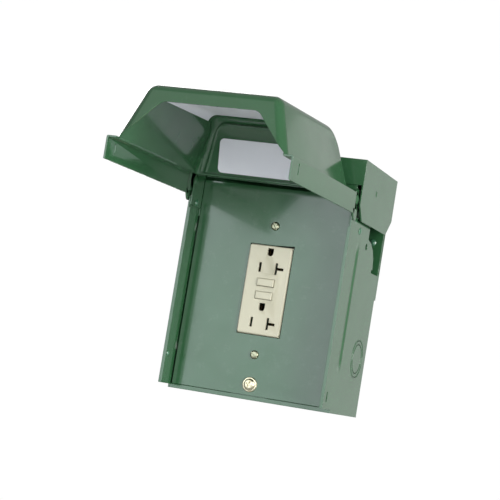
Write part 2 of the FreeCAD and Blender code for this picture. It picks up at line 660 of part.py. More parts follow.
def make_bottom_plate():
    """The bottom plate between the side walls, with up-turned flanges, a front lip and one knockout."""
    side = f"({INNER} - dims.thread_play)"
    plate = new_body("bottom_plate")
    pad(plate, "XY", [rectangle(minus(side), side, PANEL, BACK_INNER)], BOTTOM, BOTTOM_INNER)
    lip_top = "(-dims.panel_bottom - dims.seat_gap)"
    pad(plate, "XZ", [rectangle(minus(side), side, BOTTOM, lip_top)], PANEL, PANEL_BACK)
    flange_top = f"({BOTTOM} + dims.bottom_flange)"
    flange_front = f"({PANEL_BACK} + dims.bead_width + 2 * dims.seat_gap)"
    for low, high in ((minus(side), minus(f"{side} - dims.sheet")), (f"{side} - dims.sheet", side)):
        pad(plate, "YZ", [rectangle(flange_front, BACK_INNER, BOTTOM, flange_top)], low, high)
    centre = ("0", f"({BACK} - dims.body_depth / 3)")
    pocket(plate, "XY", knockout_loops(centre), BOTTOM, BOTTOM_INNER)
    pad(plate, "XY", [knockout_tie(centre)], BOTTOM, BOTTOM_INNER)
    return plate


def flap_outline():
    """Side flap of the hood in Y and Z, with cut lower corners."""
    back = minus("dims.hood_back_gap")
    cut = "dims.hood_flap_chamfer"
    return ("polygon", [
        (HOOD_FRONT, f"dims.hood_flap_low + {cut}"),
        (f"{HOOD_FRONT} + {cut}", "dims.hood_flap_low"),
        (f"{back} - dims.hood_rear_chamfer", "dims.hood_flap_low"),
        (back, "dims.hood_flap_low + dims.hood_rear_chamfer"),
        (back, "dims.hood_top"),
        (HOOD_FRONT, "dims.hood_top"),
    ])


def make_hood():
    """The rain hood over the top: roof, front wall and two side flaps, dimpled onto the side walls."""
    hood = new_body("hood")
    back = minus("dims.hood_back_gap")
    roof = rectangle(minus(HOOD_OUT), HOOD_OUT, HOOD_FRONT, back)
    pad(hood, "XY", [roof], "dims.hood_top - dims.sheet", "dims.hood_top")
    pad(hood, "XZ", [rectangle(minus(HOOD_OUT), HOOD_OUT, "dims.hood_front_low", "dims.hood_top")],
        HOOD_FRONT, f"{HOOD_FRONT} + dims.sheet")
    for low, high in ((HOOD_IN, HOOD_OUT), (minus(HOOD_OUT), minus(HOOD_IN))):
        pad(hood, "YZ", [flap_outline()], low, high)
    centre = (f"{PANEL} + dims.dimple_back", "dims.dimple_height")
    boss = ("circle", centre, "dims.dimple_size + 2 * dims.dimple_wall")
    dent = ("circle", centre, "dims.dimple_size")
    for side in ((HALF, HOOD_IN), (minus(HOOD_IN), minus(HALF))):
        pad(hood, "YZ", [boss], *side)
    dent_floor = f"({HOOD_IN} - dims.hood_gap + dims.sheet / 2)"
    for side in ((dent_floor, HOOD_OUT), (minus(HOOD_OUT), minus(dent_floor))):
        pocket(hood, "YZ", [dent], *side)
    return hood


def spacer_places():
    """The four spacer rivets between box back and mounting plate, in X and Z."""
    heights = ("dims.spacer_rivet_low", "dims.spacer_rivet_high")
    return [(x, z) for x in both_sides(SPACER_X) for z in heights]


def make_mounting_plate():
    """The wall plate behind the box: wide above, a narrower tongue below, and a foot under it."""
    plate = new_body("mounting_plate")
    tongue = "dims.plate_tongue / 2"
    outline = ("polygon", [
        (minus(tongue), minus("dims.plate_foot")),
        (tongue, minus("dims.plate_foot")),
        (tongue, "dims.plate_shoulder"),
        (HALF, "dims.plate_shoulder"),
        (HALF, "dims.plate_top"),
        (minus(HALF), "dims.plate_top"),
        (minus(HALF), "dims.plate_shoulder"),
        (minus(tongue), "dims.plate_shoulder"),
    ])
    pad(plate, "XZ", [outline], minus("dims.sheet"), "0")
    for low, high in ((minus(HALF), minus(INNER)), (INNER, HALF)):
        pad(plate, "YZ", [rectangle(BACK, "0", "dims.plate_shoulder", "dims.cutout_low")], low, high)
        pad(plate, "YZ", [rectangle(BACK, "0", "dims.cutout_high", "dims.plate_top")], low, high)
    foot_top = "(-dims.plate_foot + dims.sheet)"
    pad(plate, "XY", [rectangle(minus(tongue), tongue, BACK, "0")], minus("dims.plate_foot"), foot_top)
    holes = [("circle", (x, z), "dims.mount_hole")
             for x in both_sides("dims.mount_pitch_wide / 2")
             for z in both_sides("dims.mount_pitch_high / 2")]
    holes += [("circle", place, RIVET_HOLE) for place in spacer_places()]
    pocket(plate, "XZ", holes, minus("dims.sheet"), "0")
    return plate


def make_spacer_rivets():
    """Four shouldered rivets that hold the mounting plate off the box back."""
    rivets = []
    for x, z in spacer_places():
        shank = rod("y", (x, z), BACK_INNER, "0", "dims.rivet_shank")
        collar = rod("y", (x, z), BACK, minus("dims.sheet"), "dims.rivet_head")
        head = dome_head("-y", (x, BACK_INNER, z), "dims.rivet_head", "dims.rivet_head_height")
        rivets.append(join([shank, collar, head]))
    keep(group(rivets), "spacer_rivets")


def make_header_rail():
    """The cross rail under the hood: it closes the gap above the panel and takes the panel's hooks."""
    rail = new_body("header_rail")
    wide = f"({INNER} - dims.thread_play)"
    narrow = f"({BRACKET_FACE} - dims.seat_gap)"
    shelf_low = "dims.bracket_top"
    shelf_high = "(dims.bracket_top + dims.sheet)"
    leg_front = f"({PANEL_BACK} + dims.seat_gap)"
    leg_back = f"({leg_front} + dims.sheet)"
    shelf_front = f"({HOOD_FRONT} + dims.sheet)"
    pad(rail, "XY", [rectangle(minus(wide), wide, shelf_front, leg_back)], shelf_low, shelf_high)
    lip = rectangle(minus(wide), wide, shelf_low, "dims.hood_front_low + dims.rail_lip")
    pad(rail, "XZ", [lip], shelf_front, f"{shelf_front} + dims.sheet")
    pad(rail, "XZ", [rectangle(minus(narrow), narrow, "dims.rail_low", shelf_high)], leg_front, leg_back)
    slots = []
    for x in both_sides("dims.tab_offset"):
        half = "(dims.tab_width / 2 + dims.seat_gap)"
        low = "dims.tab_height - dims.seat_gap"
        high = "dims.tab_height + dims.sheet + dims.seat_gap"
        slots.append(rectangle(f"{x} - {half}", f"{x} + {half}", low, high))
    pocket(rail, "XZ", slots, leg_front, leg_back)
    return rail


# Hinge hardware


def make_hinge_bracket(label, sign):
    """The doubler inside a side wall that carries the hinge rivet above the cut corner."""
    bracket = new_body(label)
    front = f"({FRONT} + dims.bracket_front)"
    back = f"({PANEL} + dims.bracket_back)"
    step = f"({PANEL} - dims.seat_gap)"
    outline = ("polygon", [
        (front, "dims.bracket_front_low"),
        (step, "dims.bracket_front_low"),
        (step, "dims.bracket_low"),
        (back, "dims.bracket_low"),
        (back, "dims.bracket_top"),
        (front, "dims.bracket_top"),
    ])
    side = (BRACKET_FACE, INNER) if sign > 0 else (minus(INNER), minus(BRACKET_FACE))
    pad(bracket, "YZ", [outline], *side)
    front_y = value(front)
    top_z = value("dims.bracket_top")

    def upper_front(edge):
        middle = edge.CenterOfMass
        return along(edge, AXES["x"]) and abs(middle.y - front_y) < 0.01 and abs(middle.z - top_z) < 0.01

    round_edges(bracket, "dims.bracket_round", upper_front)
    holes = [
        ("circle", (PIVOT_Y, PIVOT_Z), "dims.pivot_pin + 2 * dims.thread_play"),
        ("circle", (f"{PANEL} - dims.front_rivet_forward", "dims.front_rivet_height"), RIVET_HOLE),
        ("circle", (f"{PANEL} + dims.rear_rivet_back", "dims.rear_rivet_height"), RIVET_HOLE),
    ]
    pocket(bracket, "YZ", holes, *side)
    return bracket


def side_span(sign, low, high):
    """A span of X on the right, or its mirror on the left."""
    return (low, high) if sign > 0 else (minus(high), minus(low))


def make_bracket_rivets():
    """Two rivets through each hinge bracket and side wall; the front ones are flush outside."""
    rivets = []
    for sign, inward, outward in ((1, "-x", "+x"), (-1, "+x", "-x")):
        face = BRACKET_FACE if sign > 0 else minus(BRACKET_FACE)
        outside = HALF if sign > 0 else minus(HALF)
        span = side_span(sign, BRACKET_FACE, HALF)
        front = (f"{PANEL} - dims.front_rivet_forward", "dims.front_rivet_height")
        rear = (f"{PANEL} + dims.rear_rivet_back", "dims.rear_rivet_height")
        head = ("dims.rivet_head", "dims.rivet_head_height")
        flush = [rod("x", front, *span, "dims.rivet_shank"), dome_head(inward, (face, *front), *head)]
        round_headed = [rod("x", rear, *span, "dims.rivet_shank"), dome_head(inward, (face, *rear), *head)]
        round_headed.append(dome_head(outward, (outside, *rear), *head))
        rivets += [join(flush), join(round_headed)]
    keep(group(rivets), "bracket_rivets")


def make_hinge_rivet(label, sign):
    """The rivet that a lid ear turns on: a head inside the bracket and a flat head outside the ear."""
    inward = "-x" if sign > 0 else "+x"
    outward = "+x" if sign > 0 else "-x"
    centre = (PIVOT_Y, PIVOT_Z)
    stop = f"({EAR_OUT} + dims.thread_play)"
    span = side_span(sign, BRACKET_FACE, stop)
    inner_face = BRACKET_FACE if sign > 0 else minus(BRACKET_FACE)
    outer_face = stop if sign > 0 else minus(stop)
    shank = rod("x", centre, *span, "dims.pivot_pin")
    collar_span = side_span(sign, INNER, f"{INNER} + dims.ear_gap / 2")
    collar = rod("x", centre, *collar_span, "dims.pivot_pin + 2 * dims.hinge_collar_rim")
    head_size = ("dims.pivot_pin + 2 * dims.hinge_head_rim", "dims.rivet_head_height")
    head = dome_head(inward, (inner_face, *centre), *head_size)
    tail = dome_head(outward, (outer_face, *centre), *head_size)
    keep(join([shank, collar, head, tail]), label)


def make_hem_rivet():
    """A small round-headed rivet through the left wall and its folded hem."""
    centre = (f"{PANEL} - dims.hem_rivet_forward", "dims.hem_rivet_height")
    face = f"({INNER} - dims.sheet)"
    shank = rod("x", centre, minus(HALF), minus(face), "dims.rivet_shank")
    head = dome_head("+x", (minus(face), *centre), "dims.hem_rivet_head", "dims.rivet_head_height")
    keep(join([shank, head]), "hem_rivet")


# Lid, drawn open and level, then lowered by its droop


def lower_lid_part(obj):
    """Turns a lid piece about the hinge axis by the droop of the open lid."""
    angle = "dims.lid_droop * 1 deg"
    obj.Placement = FreeCAD.Placement(FreeCAD.Vector(), FreeCAD.Rotation(AXES["x"], 1))
    obj.setExpression("Placement.Rotation.Angle", "dims.lid_droop")
    turned_y = f"{PIVOT_Y} * cos({angle}) - {PIVOT_Z} * sin({angle})"
    turned_z = f"{PIVOT_Y} * sin({angle}) + {PIVOT_Z} * cos({angle})"
    set_place(obj, "0", f"{PIVOT_Y} - ({turned_y})", f"{PIVOT_Z} - ({turned_z})")


def dome_profile(inset):
    """Side view of the dome, pulled in by inset: leaning free end, sloping roof, leaning hinge end."""
    back_slope = "(dims.dome_back_run / dims.dome_height_back)"
    front_slope = "(dims.dome_front_run / dims.dome_height_front)"
    rear = f"({DOME_REAR} - {inset} / cos(atan({back_slope})))"
    free = f"({LID_FREE} + dims.sheet + {inset} / cos(atan({front_slope})))"
    back_height = f"(dims.dome_height_back - {inset})"
    front_height = f"(dims.dome_height_front - {inset})"
    return ("polygon", [
        (f"{free} - {front_slope} * {inset}", f"{LEDGE} - {inset}"),
        (f"{rear} + {back_slope} * {inset}", f"{LEDGE} - {inset}"),
        (f"{rear} - {back_slope} * {back_height}", f"{LEDGE} + {back_height}"),
        (f"{free} + {front_slope} * {front_height}", f"{LEDGE} + {front_height}"),
    ])


def side_wedges(inset):
    """Front view of what the leaning dome sides cut away, up past the roof."""
    slope = "(dims.dome_taper / dims.dome_height_back)"
    side = f"({DOME_SIDE} - {inset} / cos(atan({slope})))"
    low = f"({LEDGE} - {inset})"
    rise = f"(dims.dome_height_back + {PAST})"
    right = [
        (f"{side} + {slope} * {inset}", low),
        (f"{DOME_SIDE} + {PAST}", low),
        (f"{DOME_SIDE} + {PAST}", f"{LEDGE} + {rise}"),
        (f"{side} - {slope} * {rise}", f"{LEDGE} + {rise}"),
    ]
    left = [(minus(x), z) for x, z in right]
    return [("polygon", right), ("polygon", left)]


def make_dome(name, inset):
    """A solid dome with rounded roof and hinge end, smaller by inset all round."""
    dome = doc.addObject("PartDesign::Body", name)
    pad(dome, "YZ", [dome_profile(inset)], minus(DOME_SIDE), DOME_SIDE)
    pocket(dome, "XZ", side_wedges(inset), LID_FREE, f"{DOME_REAR} + {PAST}")
    half_up = value(LEDGE) + value("dims.dome_height_front") / 2
    half_back = (value(LID_FREE) + value(DOME_REAR)) / 2

    def roof_front_edge(edge):
        middle = edge.CenterOfMass
        return along(edge, AXES["x"]) and middle.z > half_up and middle.y < half_back

    def roof_rear_edge(edge):
        middle = edge.CenterOfMass
        return along(edge, AXES["x"]) and middle.z > half_up and middle.y > half_back

    def side_line(edge):
        long_enough = edge.BoundBox.YLength > value("dims.lid_length") / 2
        return long_enough and edge.CenterOfMass.z > half_up

    round_edges(dome, f"dims.dome_front_edge - {inset}", roof_front_edge)
    round_edges(dome, f"dims.dome_back_edge - {inset}", roof_rear_edge)
    round_edges(dome, f"dims.dome_edge - {inset}", side_line)
    return dome


def make_lid_frame():
    """The flat ledge round the dome, the side skirts and the hinge ears, before the holes."""
    frame = doc.addObject("PartDesign::Body", "lid_frame")
    ledge_low = f"({LEDGE} - dims.sheet)"
    side_in = f"({DOME_SIDE} - dims.sheet)"
    skirt_rear = f"({PIVOT_Y} - dims.skirt_start)"
    for sign in (1, -1):
        strip = side_span(sign, side_in, SKIRT_OUT)
        pad(frame, "XY", [rectangle(*strip, LID_FREE, skirt_rear)], ledge_low, LEDGE)
        if sign > 0:
            rear_in = f"({DOME_REAR} - 2 * dims.sheet)"
            between = f"({BRACKET_FACE} - dims.seat_gap)"
            pad(frame, "XY", [rectangle(minus(between), between, rear_in, PIVOT_Y)], ledge_low, LEDGE)
    skirt = rectangle(LID_FREE, skirt_rear, RIM, LEDGE)
    arm_front = f"({skirt_rear} - dims.sheet)"
    joggle = rectangle(arm_front, skirt_rear, EAR_LOW, LEDGE)
    tail = ("polygon", [
        (f"{skirt_rear} - dims.tail_run", f"{RIM} + dims.sheet"),
        (f"{skirt_rear} - dims.tail_run", RIM),
        (f"{skirt_rear} + dims.sheet", f"{RIM} - dims.tail_drop"),
        (PIVOT_Y, f"{RIM} - dims.tail_drop"),
        (f"{PIVOT_Y} + dims.sheet", f"{RIM} - dims.tail_drop / 2"),
        (PIVOT_Y, f"{RIM} + dims.sheet"),
    ])
    arm = ("polygon", [
        (arm_front, EAR_LOW),
        (PIVOT_Y, f"{PIVOT_Z} - dims.ear_radius"),
        (PIVOT_Y, LEDGE),
        (arm_front, LEDGE),
    ])
    ear_round = ("circle", (PIVOT_Y, PIVOT_Z), "2 * dims.ear_radius")
    for sign in (1, -1):
        pad(frame, "YZ", [skirt], *side_span(sign, SKIRT_IN, SKIRT_OUT))
        pad(frame, "YZ", [tail], *side_span(sign, SKIRT_IN, SKIRT_OUT))
        pad(frame, "YZ", [joggle], *side_span(sign, EAR_IN, SKIRT_OUT))
        pad(frame, "YZ", [arm], *side_span(sign, EAR_IN, EAR_OUT))
        pad(frame, "YZ", [ear_round], *side_span(sign, EAR_IN, EAR_OUT))
        pocket(frame, "YZ", lid_side_holes("hinge"), *side_span(sign, EAR_IN, EAR_OUT))
        pocket(frame, "YZ", lid_side_holes("seal"), *side_span(sign, SKIRT_IN, SKIRT_OUT))
    return frame


def lid_side_holes(kind):
    """The hinge hole in a lid ear, or the seal slot in a lid skirt."""
    if kind == "hinge":
        return [("circle", (PIVOT_Y, PIVOT_Z), "dims.pivot_pin + 2 * dims.pivot_play")]
    out = f"({PIVOT_Z} - dims.seal_slot_height)"
    slot_z = f"({PIVOT_Z} - (dims.pivot_forward - dims.seal_slot_forward))"
    half_run = "(dims.seal_slot_length - dims.seal_slot_width) / 2"
    return [("slot", (f"{PIVOT_Y} - {out}", slot_z), half_run, "dims.seal_slot_width")]


def make_cord_opening():
    """The tool that opens the lid's free end: wide at the ledge, with a knee and rounded upper corners."""
    opening = doc.addObject("PartDesign::Body", "cord_opening")
    below = f"{LEDGE} - dims.sheet - {PAST}"
    right = [
        ("dims.arch_base / 2", below),
        ("dims.arch_base / 2", f"{LEDGE} + dims.arch_foot_height"),
        ("dims.arch_knee / 2", f"{LEDGE} + dims.arch_knee_height"),
        ("dims.arch_top / 2", f"{LEDGE} + dims.arch_height"),
    ]
    left = [(minus(x), z) for x, z in reversed(right)]
    deep = f"{LID_FREE} + dims.dome_front_run + 2 * dims.sheet"
    pad(opening, "XZ", [("polygon", right + left)], f"{LID_FREE} - {PAST}", deep)
    top = value(f"{LEDGE} + dims.arch_height")

    def upper_corner(edge):
        return along(edge, AXES["y"]) and edge.CenterOfMass.z > top - value("dims.sheet")

    round_edges(opening, "dims.arch_round", upper_corner)
    return opening


def make_lid_shell():
    """The deep drawn lid in one sheet: a hollow dome on its frame, open at the free end for cords."""
    hollow = remove(make_dome("dome_outside", "0"), [make_dome("dome_inside", "dims.sheet")])
    lid = remove(join([hollow, make_lid_frame()]), [make_cord_opening()])
    lower_lid_part(lid)
    keep(lid, "lid_shell")


def make_lid_label():
    """A plain label on the inside of the lid's leaning hinge-end wall."""
    lean = "atan(dims.dome_back_run / dims.dome_height_back)"
    label = doc.addObject("Part::Box", "label_sheet")
    label.setExpression("Length", f"2 * {LABEL_HALF}")
    label.setExpression("Width", "dims.label_thickness")
    label.setExpression("Height", "dims.label_height")
    label.Placement = FreeCAD.Placement(FreeCAD.Vector(), FreeCAD.Rotation(AXES["x"], 30))
    label.setExpression("Placement.Rotation.Angle", lean)
    seat = "(dims.sheet + dims.label_thickness)"
    seat_y = f"{DOME_REAR} - {seat} / cos({lean}) - dims.label_rise * tan({lean})"
    set_place(label, minus(LABEL_HALF), seat_y, f"{LEDGE} + dims.label_rise")
    holder = group([label])
    lower_lid_part(holder)
    keep(holder, "lid_label")


# Dead front panel


def make_panel():
    """The recessed dead front panel with its receptacle window, hooks and rear lip."""
    panel = new_body("dead_front_panel")
    side = f"({INNER} - dims.panel_side_gap)"
    outline = rectangle(minus(side), side, minus("dims.panel_bottom"), "dims.panel_top")
    pad(panel, "XZ", [outline], PANEL, PANEL_BACK)
    wide = "(dims.face_width / 2 + dims.face_gap)"
    tall = "(dims.face_height / 2 + dims.face_gap)"
    pocket(panel, "XZ", [rectangle(minus(wide), wide, minus(tall), tall)], PANEL, PANEL_BACK)
    for z in both_sides("dims.plate_screw_pitch / 2"):
        small = ("circle", ("0", z), "dims.plate_screw + 4 * dims.thread_play")
        pocket(panel, "XZ", [small], PANEL, PANEL_BACK)
    large = ("circle", ("0", minus("dims.panel_screw_drop")), "dims.panel_screw + 8 * dims.thread_play")
    pocket(panel, "XZ", [large], PANEL, PANEL_BACK)
    lip_low = minus("dims.panel_bottom")
    lip_end = f"({side} - dims.panel_lip_end)"
    lip_back = f"{PANEL_BACK} + dims.panel_lip"
    for sign in (1, -1):
        lip = rectangle(*side_span(sign, "dims.panel_lip_clear", lip_end), PANEL, lip_back)
        pad(panel, "XY", [lip], lip_low, f"{lip_low} + dims.sheet")
    tab_half = "dims.tab_width / 2"
    for x in both_sides("dims.tab_offset"):
        tab = rectangle(f"{x} - {tab_half}", f"{x} + {tab_half}", PANEL, f"{PANEL_BACK} + dims.tab_length")
        pad(panel, "XY", [tab], "dims.tab_height", "dims.tab_height + dims.sheet")
    return panel


def make_panel_screw():
    """The large slotted brass screw that holds the panel at its foot."""
    z = minus("dims.panel_screw_drop")
    shank = rod("y", ("0", z), PANEL, f"{PANEL} + dims.panel_screw_length", "dims.panel_screw")
    seat = f"{PANEL} - dims.panel_screw_rim"
    skirt = rod("y", ("0", z), seat, PANEL, "dims.panel_screw_head")
    height = "dims.panel_screw_head_height - dims.panel_screw_rim"
    head = dome_head("-y", ("0", seat, z), "dims.panel_screw_head", height)
    front = f"{PANEL} - dims.panel_screw_head_height - {PAST}"
    slot = block(both_sides("dims.panel_screw_head"), (front, seat), slot_span(z, "dims.panel_screw_slot"))
    keep(remove(join([shank, skirt, head]), [slot]), "dead_front_screw")


def make_panel_bracket():
    """The angle on the bottom plate that the large screw threads into."""
    bracket = new_body("dead_front_bracket")
    front = f"({PANEL_BACK} + dims.seat_gap)"
    thick = "2 * dims.sheet"
    half = "(dims.foot_angle_width / 2)"
    top = "(-dims.panel_screw_drop + dims.panel_screw_head / 2 + dims.foot_angle_rise)"
    pad(bracket, "XZ", [rectangle(minus(half), half, BOTTOM_INNER, top)], front, f"{front} + {thick}")
    foot = rectangle(minus(half), half, front, f"{front} + dims.foot_angle_depth")
    pad(bracket, "XY", [foot], BOTTOM_INNER, f"{BOTTOM_INNER} + dims.sheet")
    hole = ("circle", ("0", minus("dims.panel_screw_drop")), "dims.panel_screw + 2 * dims.thread_play")
    pocket(bracket, "XZ", [hole], front, f"{front} + {thick}")
    return bracket


def make_plate_screws():
    """The two small screws that tie the receptacle's yoke to the panel."""
    screws = []
    for z in both_sides("dims.plate_screw_pitch / 2"):
        shank = rod("y", ("0", z), PANEL, f"{PANEL} + dims.plate_screw_length", "dims.plate_screw")
        head = dome_head("-y", ("0", PANEL, z), "dims.plate_screw_head", "dims.plate_screw_head_height")
        height = "dims.plate_screw_head_height"
        depth = (f"{PANEL} - {height} - {PAST}", f"{PANEL} - {height} / 2")
        slot = block(both_sides("dims.plate_screw_head"), depth, slot_span(z, "dims.plate_screw_slot"))
        screws.append(remove(join([shank, head]), [slot]))
    keep(group(screws), "plate_screws")


# Receptacle


def make_yoke():
    """The steel yoke behind the panel, with a window for the face and tapped holes for the plate screws."""
    yoke = new_body("mounting_yoke")
    ear = "dims.yoke_width / 2"
    length = "dims.yoke_length / 2"
    wide = "(dims.housing_width / 2)"
    tall = HOUSING_TALL
    outline = ("polygon", [
        (minus(ear), minus(length)), (ear, minus(length)), (ear, minus(tall)), (wide, minus(tall)),
        (wide, tall), (ear, tall), (ear, length), (minus(ear), length),
        (minus(ear), tall), (minus(wide), tall), (minus(wide), minus(tall)), (minus(ear), minus(tall)),
    ])
    pad(yoke, "XZ", [outline], PANEL_BACK, YOKE_BACK)
    window_x = "(dims.face_width / 2 + dims.seat_gap)"
    window_z = "(dims.face_height / 2 + dims.seat_gap)"
    window = rectangle(minus(window_x), window_x, minus(window_z), window_z)
    pocket(yoke, "XZ", [window], PANEL_BACK, YOKE_BACK)
    tapped = "dims.plate_screw + 2 * dims.thread_play"
    holes = [("circle", ("0", z), tapped) for z in both_sides("dims.plate_screw_pitch / 2")]
    holes += [("circle", ("0", z), "dims.box_screw_hole") for z in both_sides("dims.box_screw_pitch / 2")]
    holes.append(("circle", ground_screw_place(), TERMINAL_HOLE))
    pocket(yoke, "XZ", holes, PANEL_BACK, YOKE_BACK)
    return yoke


def outlet_loops(blade_row):
    """The openings of one outlet: hot slot, neutral slot with its side arm, and ground hole."""
    half_slot = "dims.blade_slot / 2"
    hot_x = minus("dims.blade_pitch / 2")
    neutral_x = "dims.blade_pitch / 2"
    hot = rectangle(f"{hot_x} - {half_slot}", f"{hot_x} + {half_slot}",
                    f"{blade_row} - dims.hot_slot_height / 2", f"{blade_row} + dims.hot_slot_height / 2")
    neutral_low = f"{blade_row} - dims.neutral_slot_height / 2"
    neutral_high = f"{blade_row} + dims.neutral_slot_height / 2"
    arm_end = f"{neutral_x} + dims.tee_length"
    neutral = ("polygon", [
        (f"{neutral_x} - {half_slot}", neutral_low), (f"{neutral_x} + {half_slot}", neutral_low),
        (f"{neutral_x} + {half_slot}", f"{blade_row} - {half_slot}"), (arm_end, f"{blade_row} - {half_slot}"),
        (arm_end, f"{blade_row} + {half_slot}"), (f"{neutral_x} + {half_slot}", f"{blade_row} + {half_slot}"),
        (f"{neutral_x} + {half_slot}", neutral_high), (f"{neutral_x} - {half_slot}", neutral_high),
    ])
    ground_z = f"({blade_row} + dims.ground_rise)"
    half_wide = "dims.ground_width / 2"
    low = f"({ground_z} - dims.ground_height / 2)"
    high = f"({ground_z} + dims.ground_height / 2)"
    right = [
        ("dims.ground_foot / 2", low),
        ("dims.ground_bend / 2", f"{low} + dims.ground_bend_rise"),
        (half_wide, f"{low} + dims.ground_shoulder"),
        (half_wide, high),
    ]
    ground = ("polygon", right + [(minus(x), z) for x, z in reversed(right)])
    return [hot, neutral, ground]


def make_face():
    """The moulded receptacle face: a hollow front with outlet slots and two button wells."""
    face = new_body("receptacle_face")
    wide = "(dims.face_width / 2)"
    tall = "(dims.face_height / 2)"
    pad(face, "XZ", [rectangle(minus(wide), wide, minus(tall), tall)], FACE, FLANGE_BACK)
    front_y = value(FACE)

    def front_edges(edge):
        return edge.BoundBox.YMax < front_y + 0.01

    round_edges(face, "dims.face_round / 2", front_edges)
    outer_x = "dims.housing_width / 2"
    outer_z = HOUSING_TALL
    pad(face, "XZ", [rectangle(minus(outer_x), outer_x, minus(outer_z), outer_z)], YOKE_BACK, FLANGE_BACK)
    hollow_x = f"({wide} - dims.face_wall)"
    hollow_z = f"({tall} - dims.face_wall)"
    hollow = rectangle(minus(hollow_x), hollow_x, minus(hollow_z), hollow_z)
    pocket(face, "XZ", [hollow], f"{FACE} + dims.face_wall", FLANGE_BACK)
    loops = outlet_loops("dims.upper_blades") + outlet_loops(LOWER_BLADES)
    well_x = "(dims.button_width / 2 + dims.button_play)"
    for height in ("dims.test_height", "dims.reset_height"):
        well_z = "(dims.button_height / 2 + dims.button_play)"
        loops.append(rectangle(minus(well_x), well_x, f"{height} - {well_z}", f"{height} + {well_z}"))
    pocket(face, "XZ", loops, FACE, f"{FACE} + dims.face_wall")
    screw_holes = [("circle", place, HOUSING_SCREW_HOLE) for place in housing_screw_places()]
    pocket(face, "XZ", screw_holes, YOKE_BACK, FLANGE_BACK)
    return face


def make_housing():
    """The rear housing of the receptacle, open at the front, with side holes for the terminal screws."""
    outer_x = "(dims.housing_width / 2)"
    outer_z = HOUSING_TALL
    body = new_body("receptacle_housing")
    pad(body, "XZ", [rectangle(minus(outer_x), outer_x, minus(outer_z), outer_z)], FLANGE_BACK, HOUSING_BACK)
    in_x = f"({outer_x} - dims.housing_wall)"
    in_z = f"({outer_z} - dims.housing_wall)"
    floor = f"{HOUSING_BACK} - dims.housing_wall"
    pocket(body, "XZ", [rectangle(minus(in_x), in_x, minus(in_z), in_z)], FLANGE_BACK, floor)
    back_y = value(HOUSING_BACK)

    def rear_edges(edge):
        return edge.BoundBox.YMin > back_y - 0.01 and edge.BoundBox.YMax > back_y - 0.01

    round_edges(body, "dims.housing_round", rear_edges)
    holes = [("circle", (f"{PANEL} + dims.terminal_back", z), TERMINAL_HOLE)
             for z in both_sides("dims.terminal_pitch / 2")]
    for side in ((in_x, outer_x), (minus(outer_x), minus(in_x))):
        pocket(body, "YZ", holes, *side)
    half_post = "dims.housing_post / 2"
    for x, z in housing_screw_places():
        across = (f"{x} - {half_post}", f"{x} + {half_post}")
        post = rectangle(*across, f"{z} - {half_post}", f"{z} + {half_post}")
        pad(body, "XZ", [post], FLANGE_BACK, floor)
    screw_holes = [("circle", place, HOUSING_SCREW_HOLE) for place in housing_screw_places()]
    pocket(body, "XZ", screw_holes, FLANGE_BACK, HOUSING_BACK)
    return body


def make_button(label, height):
    """A moulded push button with a retaining flange behind the face."""
    button = new_body(label)
    half_x = "(dims.button_width / 2)"
    half_z = "(dims.button_height / 2)"
    front = f"({FACE} - dims.button_proud)"
    pad(button, "XZ", [rectangle(minus(half_x), half_x, f"{height} - {half_z}", f"{height} + {half_z}")],
        front, f"{front} + dims.button_depth")
    front_y = value(front)

    def front_edges(edge):
        return edge.BoundBox.YMax < front_y + 0.01

    round_edges(button, "dims.button_round", front_edges)
    flange = f"({FACE} + dims.face_wall + dims.seat_gap)"
    wide = f"({half_x} + dims.button_flange)"
    tall = f"({half_z} + dims.button_flange)"
    flange_loop = rectangle(minus(wide), wide, f"{height} - {tall}", f"{height} + {tall}")
    pad(button, "XZ", [flange_loop], flange, f"{flange} + dims.button_flange_depth")
    return button


def make_button_spring(label, height):
    """A return spring between a button and the circuit board, as a plain sleeve."""
    low = f"({FACE} - dims.button_proud + dims.button_depth)"
    outside = rod("y", ("0", height), low, BOARD, "dims.spring_diameter")
    inside = "dims.spring_diameter - 2 * dims.spring_wire"
    bore = rod("y", ("0", height), f"{low} - {PAST}", f"{BOARD} + {PAST}", inside)
    keep(remove(outside, [bore]), label)


def make_blade_contacts(label, sign):
    """The contact strip of one pole: spring clips behind its slots, a bus between them and terminal tabs."""
    x = "(dims.blade_pitch / 2)"
    near = f"({x} - dims.blade_slot / 2)"
    far = f"({x} + dims.blade_slot / 2)"
    thick = "dims.contact_sheet"
    half = "dims.contact_height / 2"
    clip = (f"{BOARD} - dims.contact_depth", BOARD)
    sheet_on_board = (f"{BOARD} - {thick}", BOARD)
    strips = []
    for row in ("dims.upper_blades", LOWER_BLADES):
        for low, high in ((f"{near} - {thick}", near), (far, f"{far} + {thick}")):
            strips.append(block(side_span(sign, low, high), clip, (f"{row} - {half}", f"{row} + {half}")))
    bus = side_span(sign, f"{near} - {thick}", f"{far} + {thick}")
    strips.append(block(bus, sheet_on_board, (f"{LOWER_BLADES} - {half}", f"dims.upper_blades + {half}")))
    wall = "(dims.housing_width / 2 - dims.housing_wall)"
    for z in both_sides("dims.terminal_pitch / 2"):
        upright = (f"{z} - {half}", f"{z} + {half}")
        strips.append(block(side_span(sign, x, f"{wall} - {thick}"), sheet_on_board, upright))
        strips.append(block(side_span(sign, f"{wall} - {thick}", wall), clip, upright))
    keep(join(strips), label)


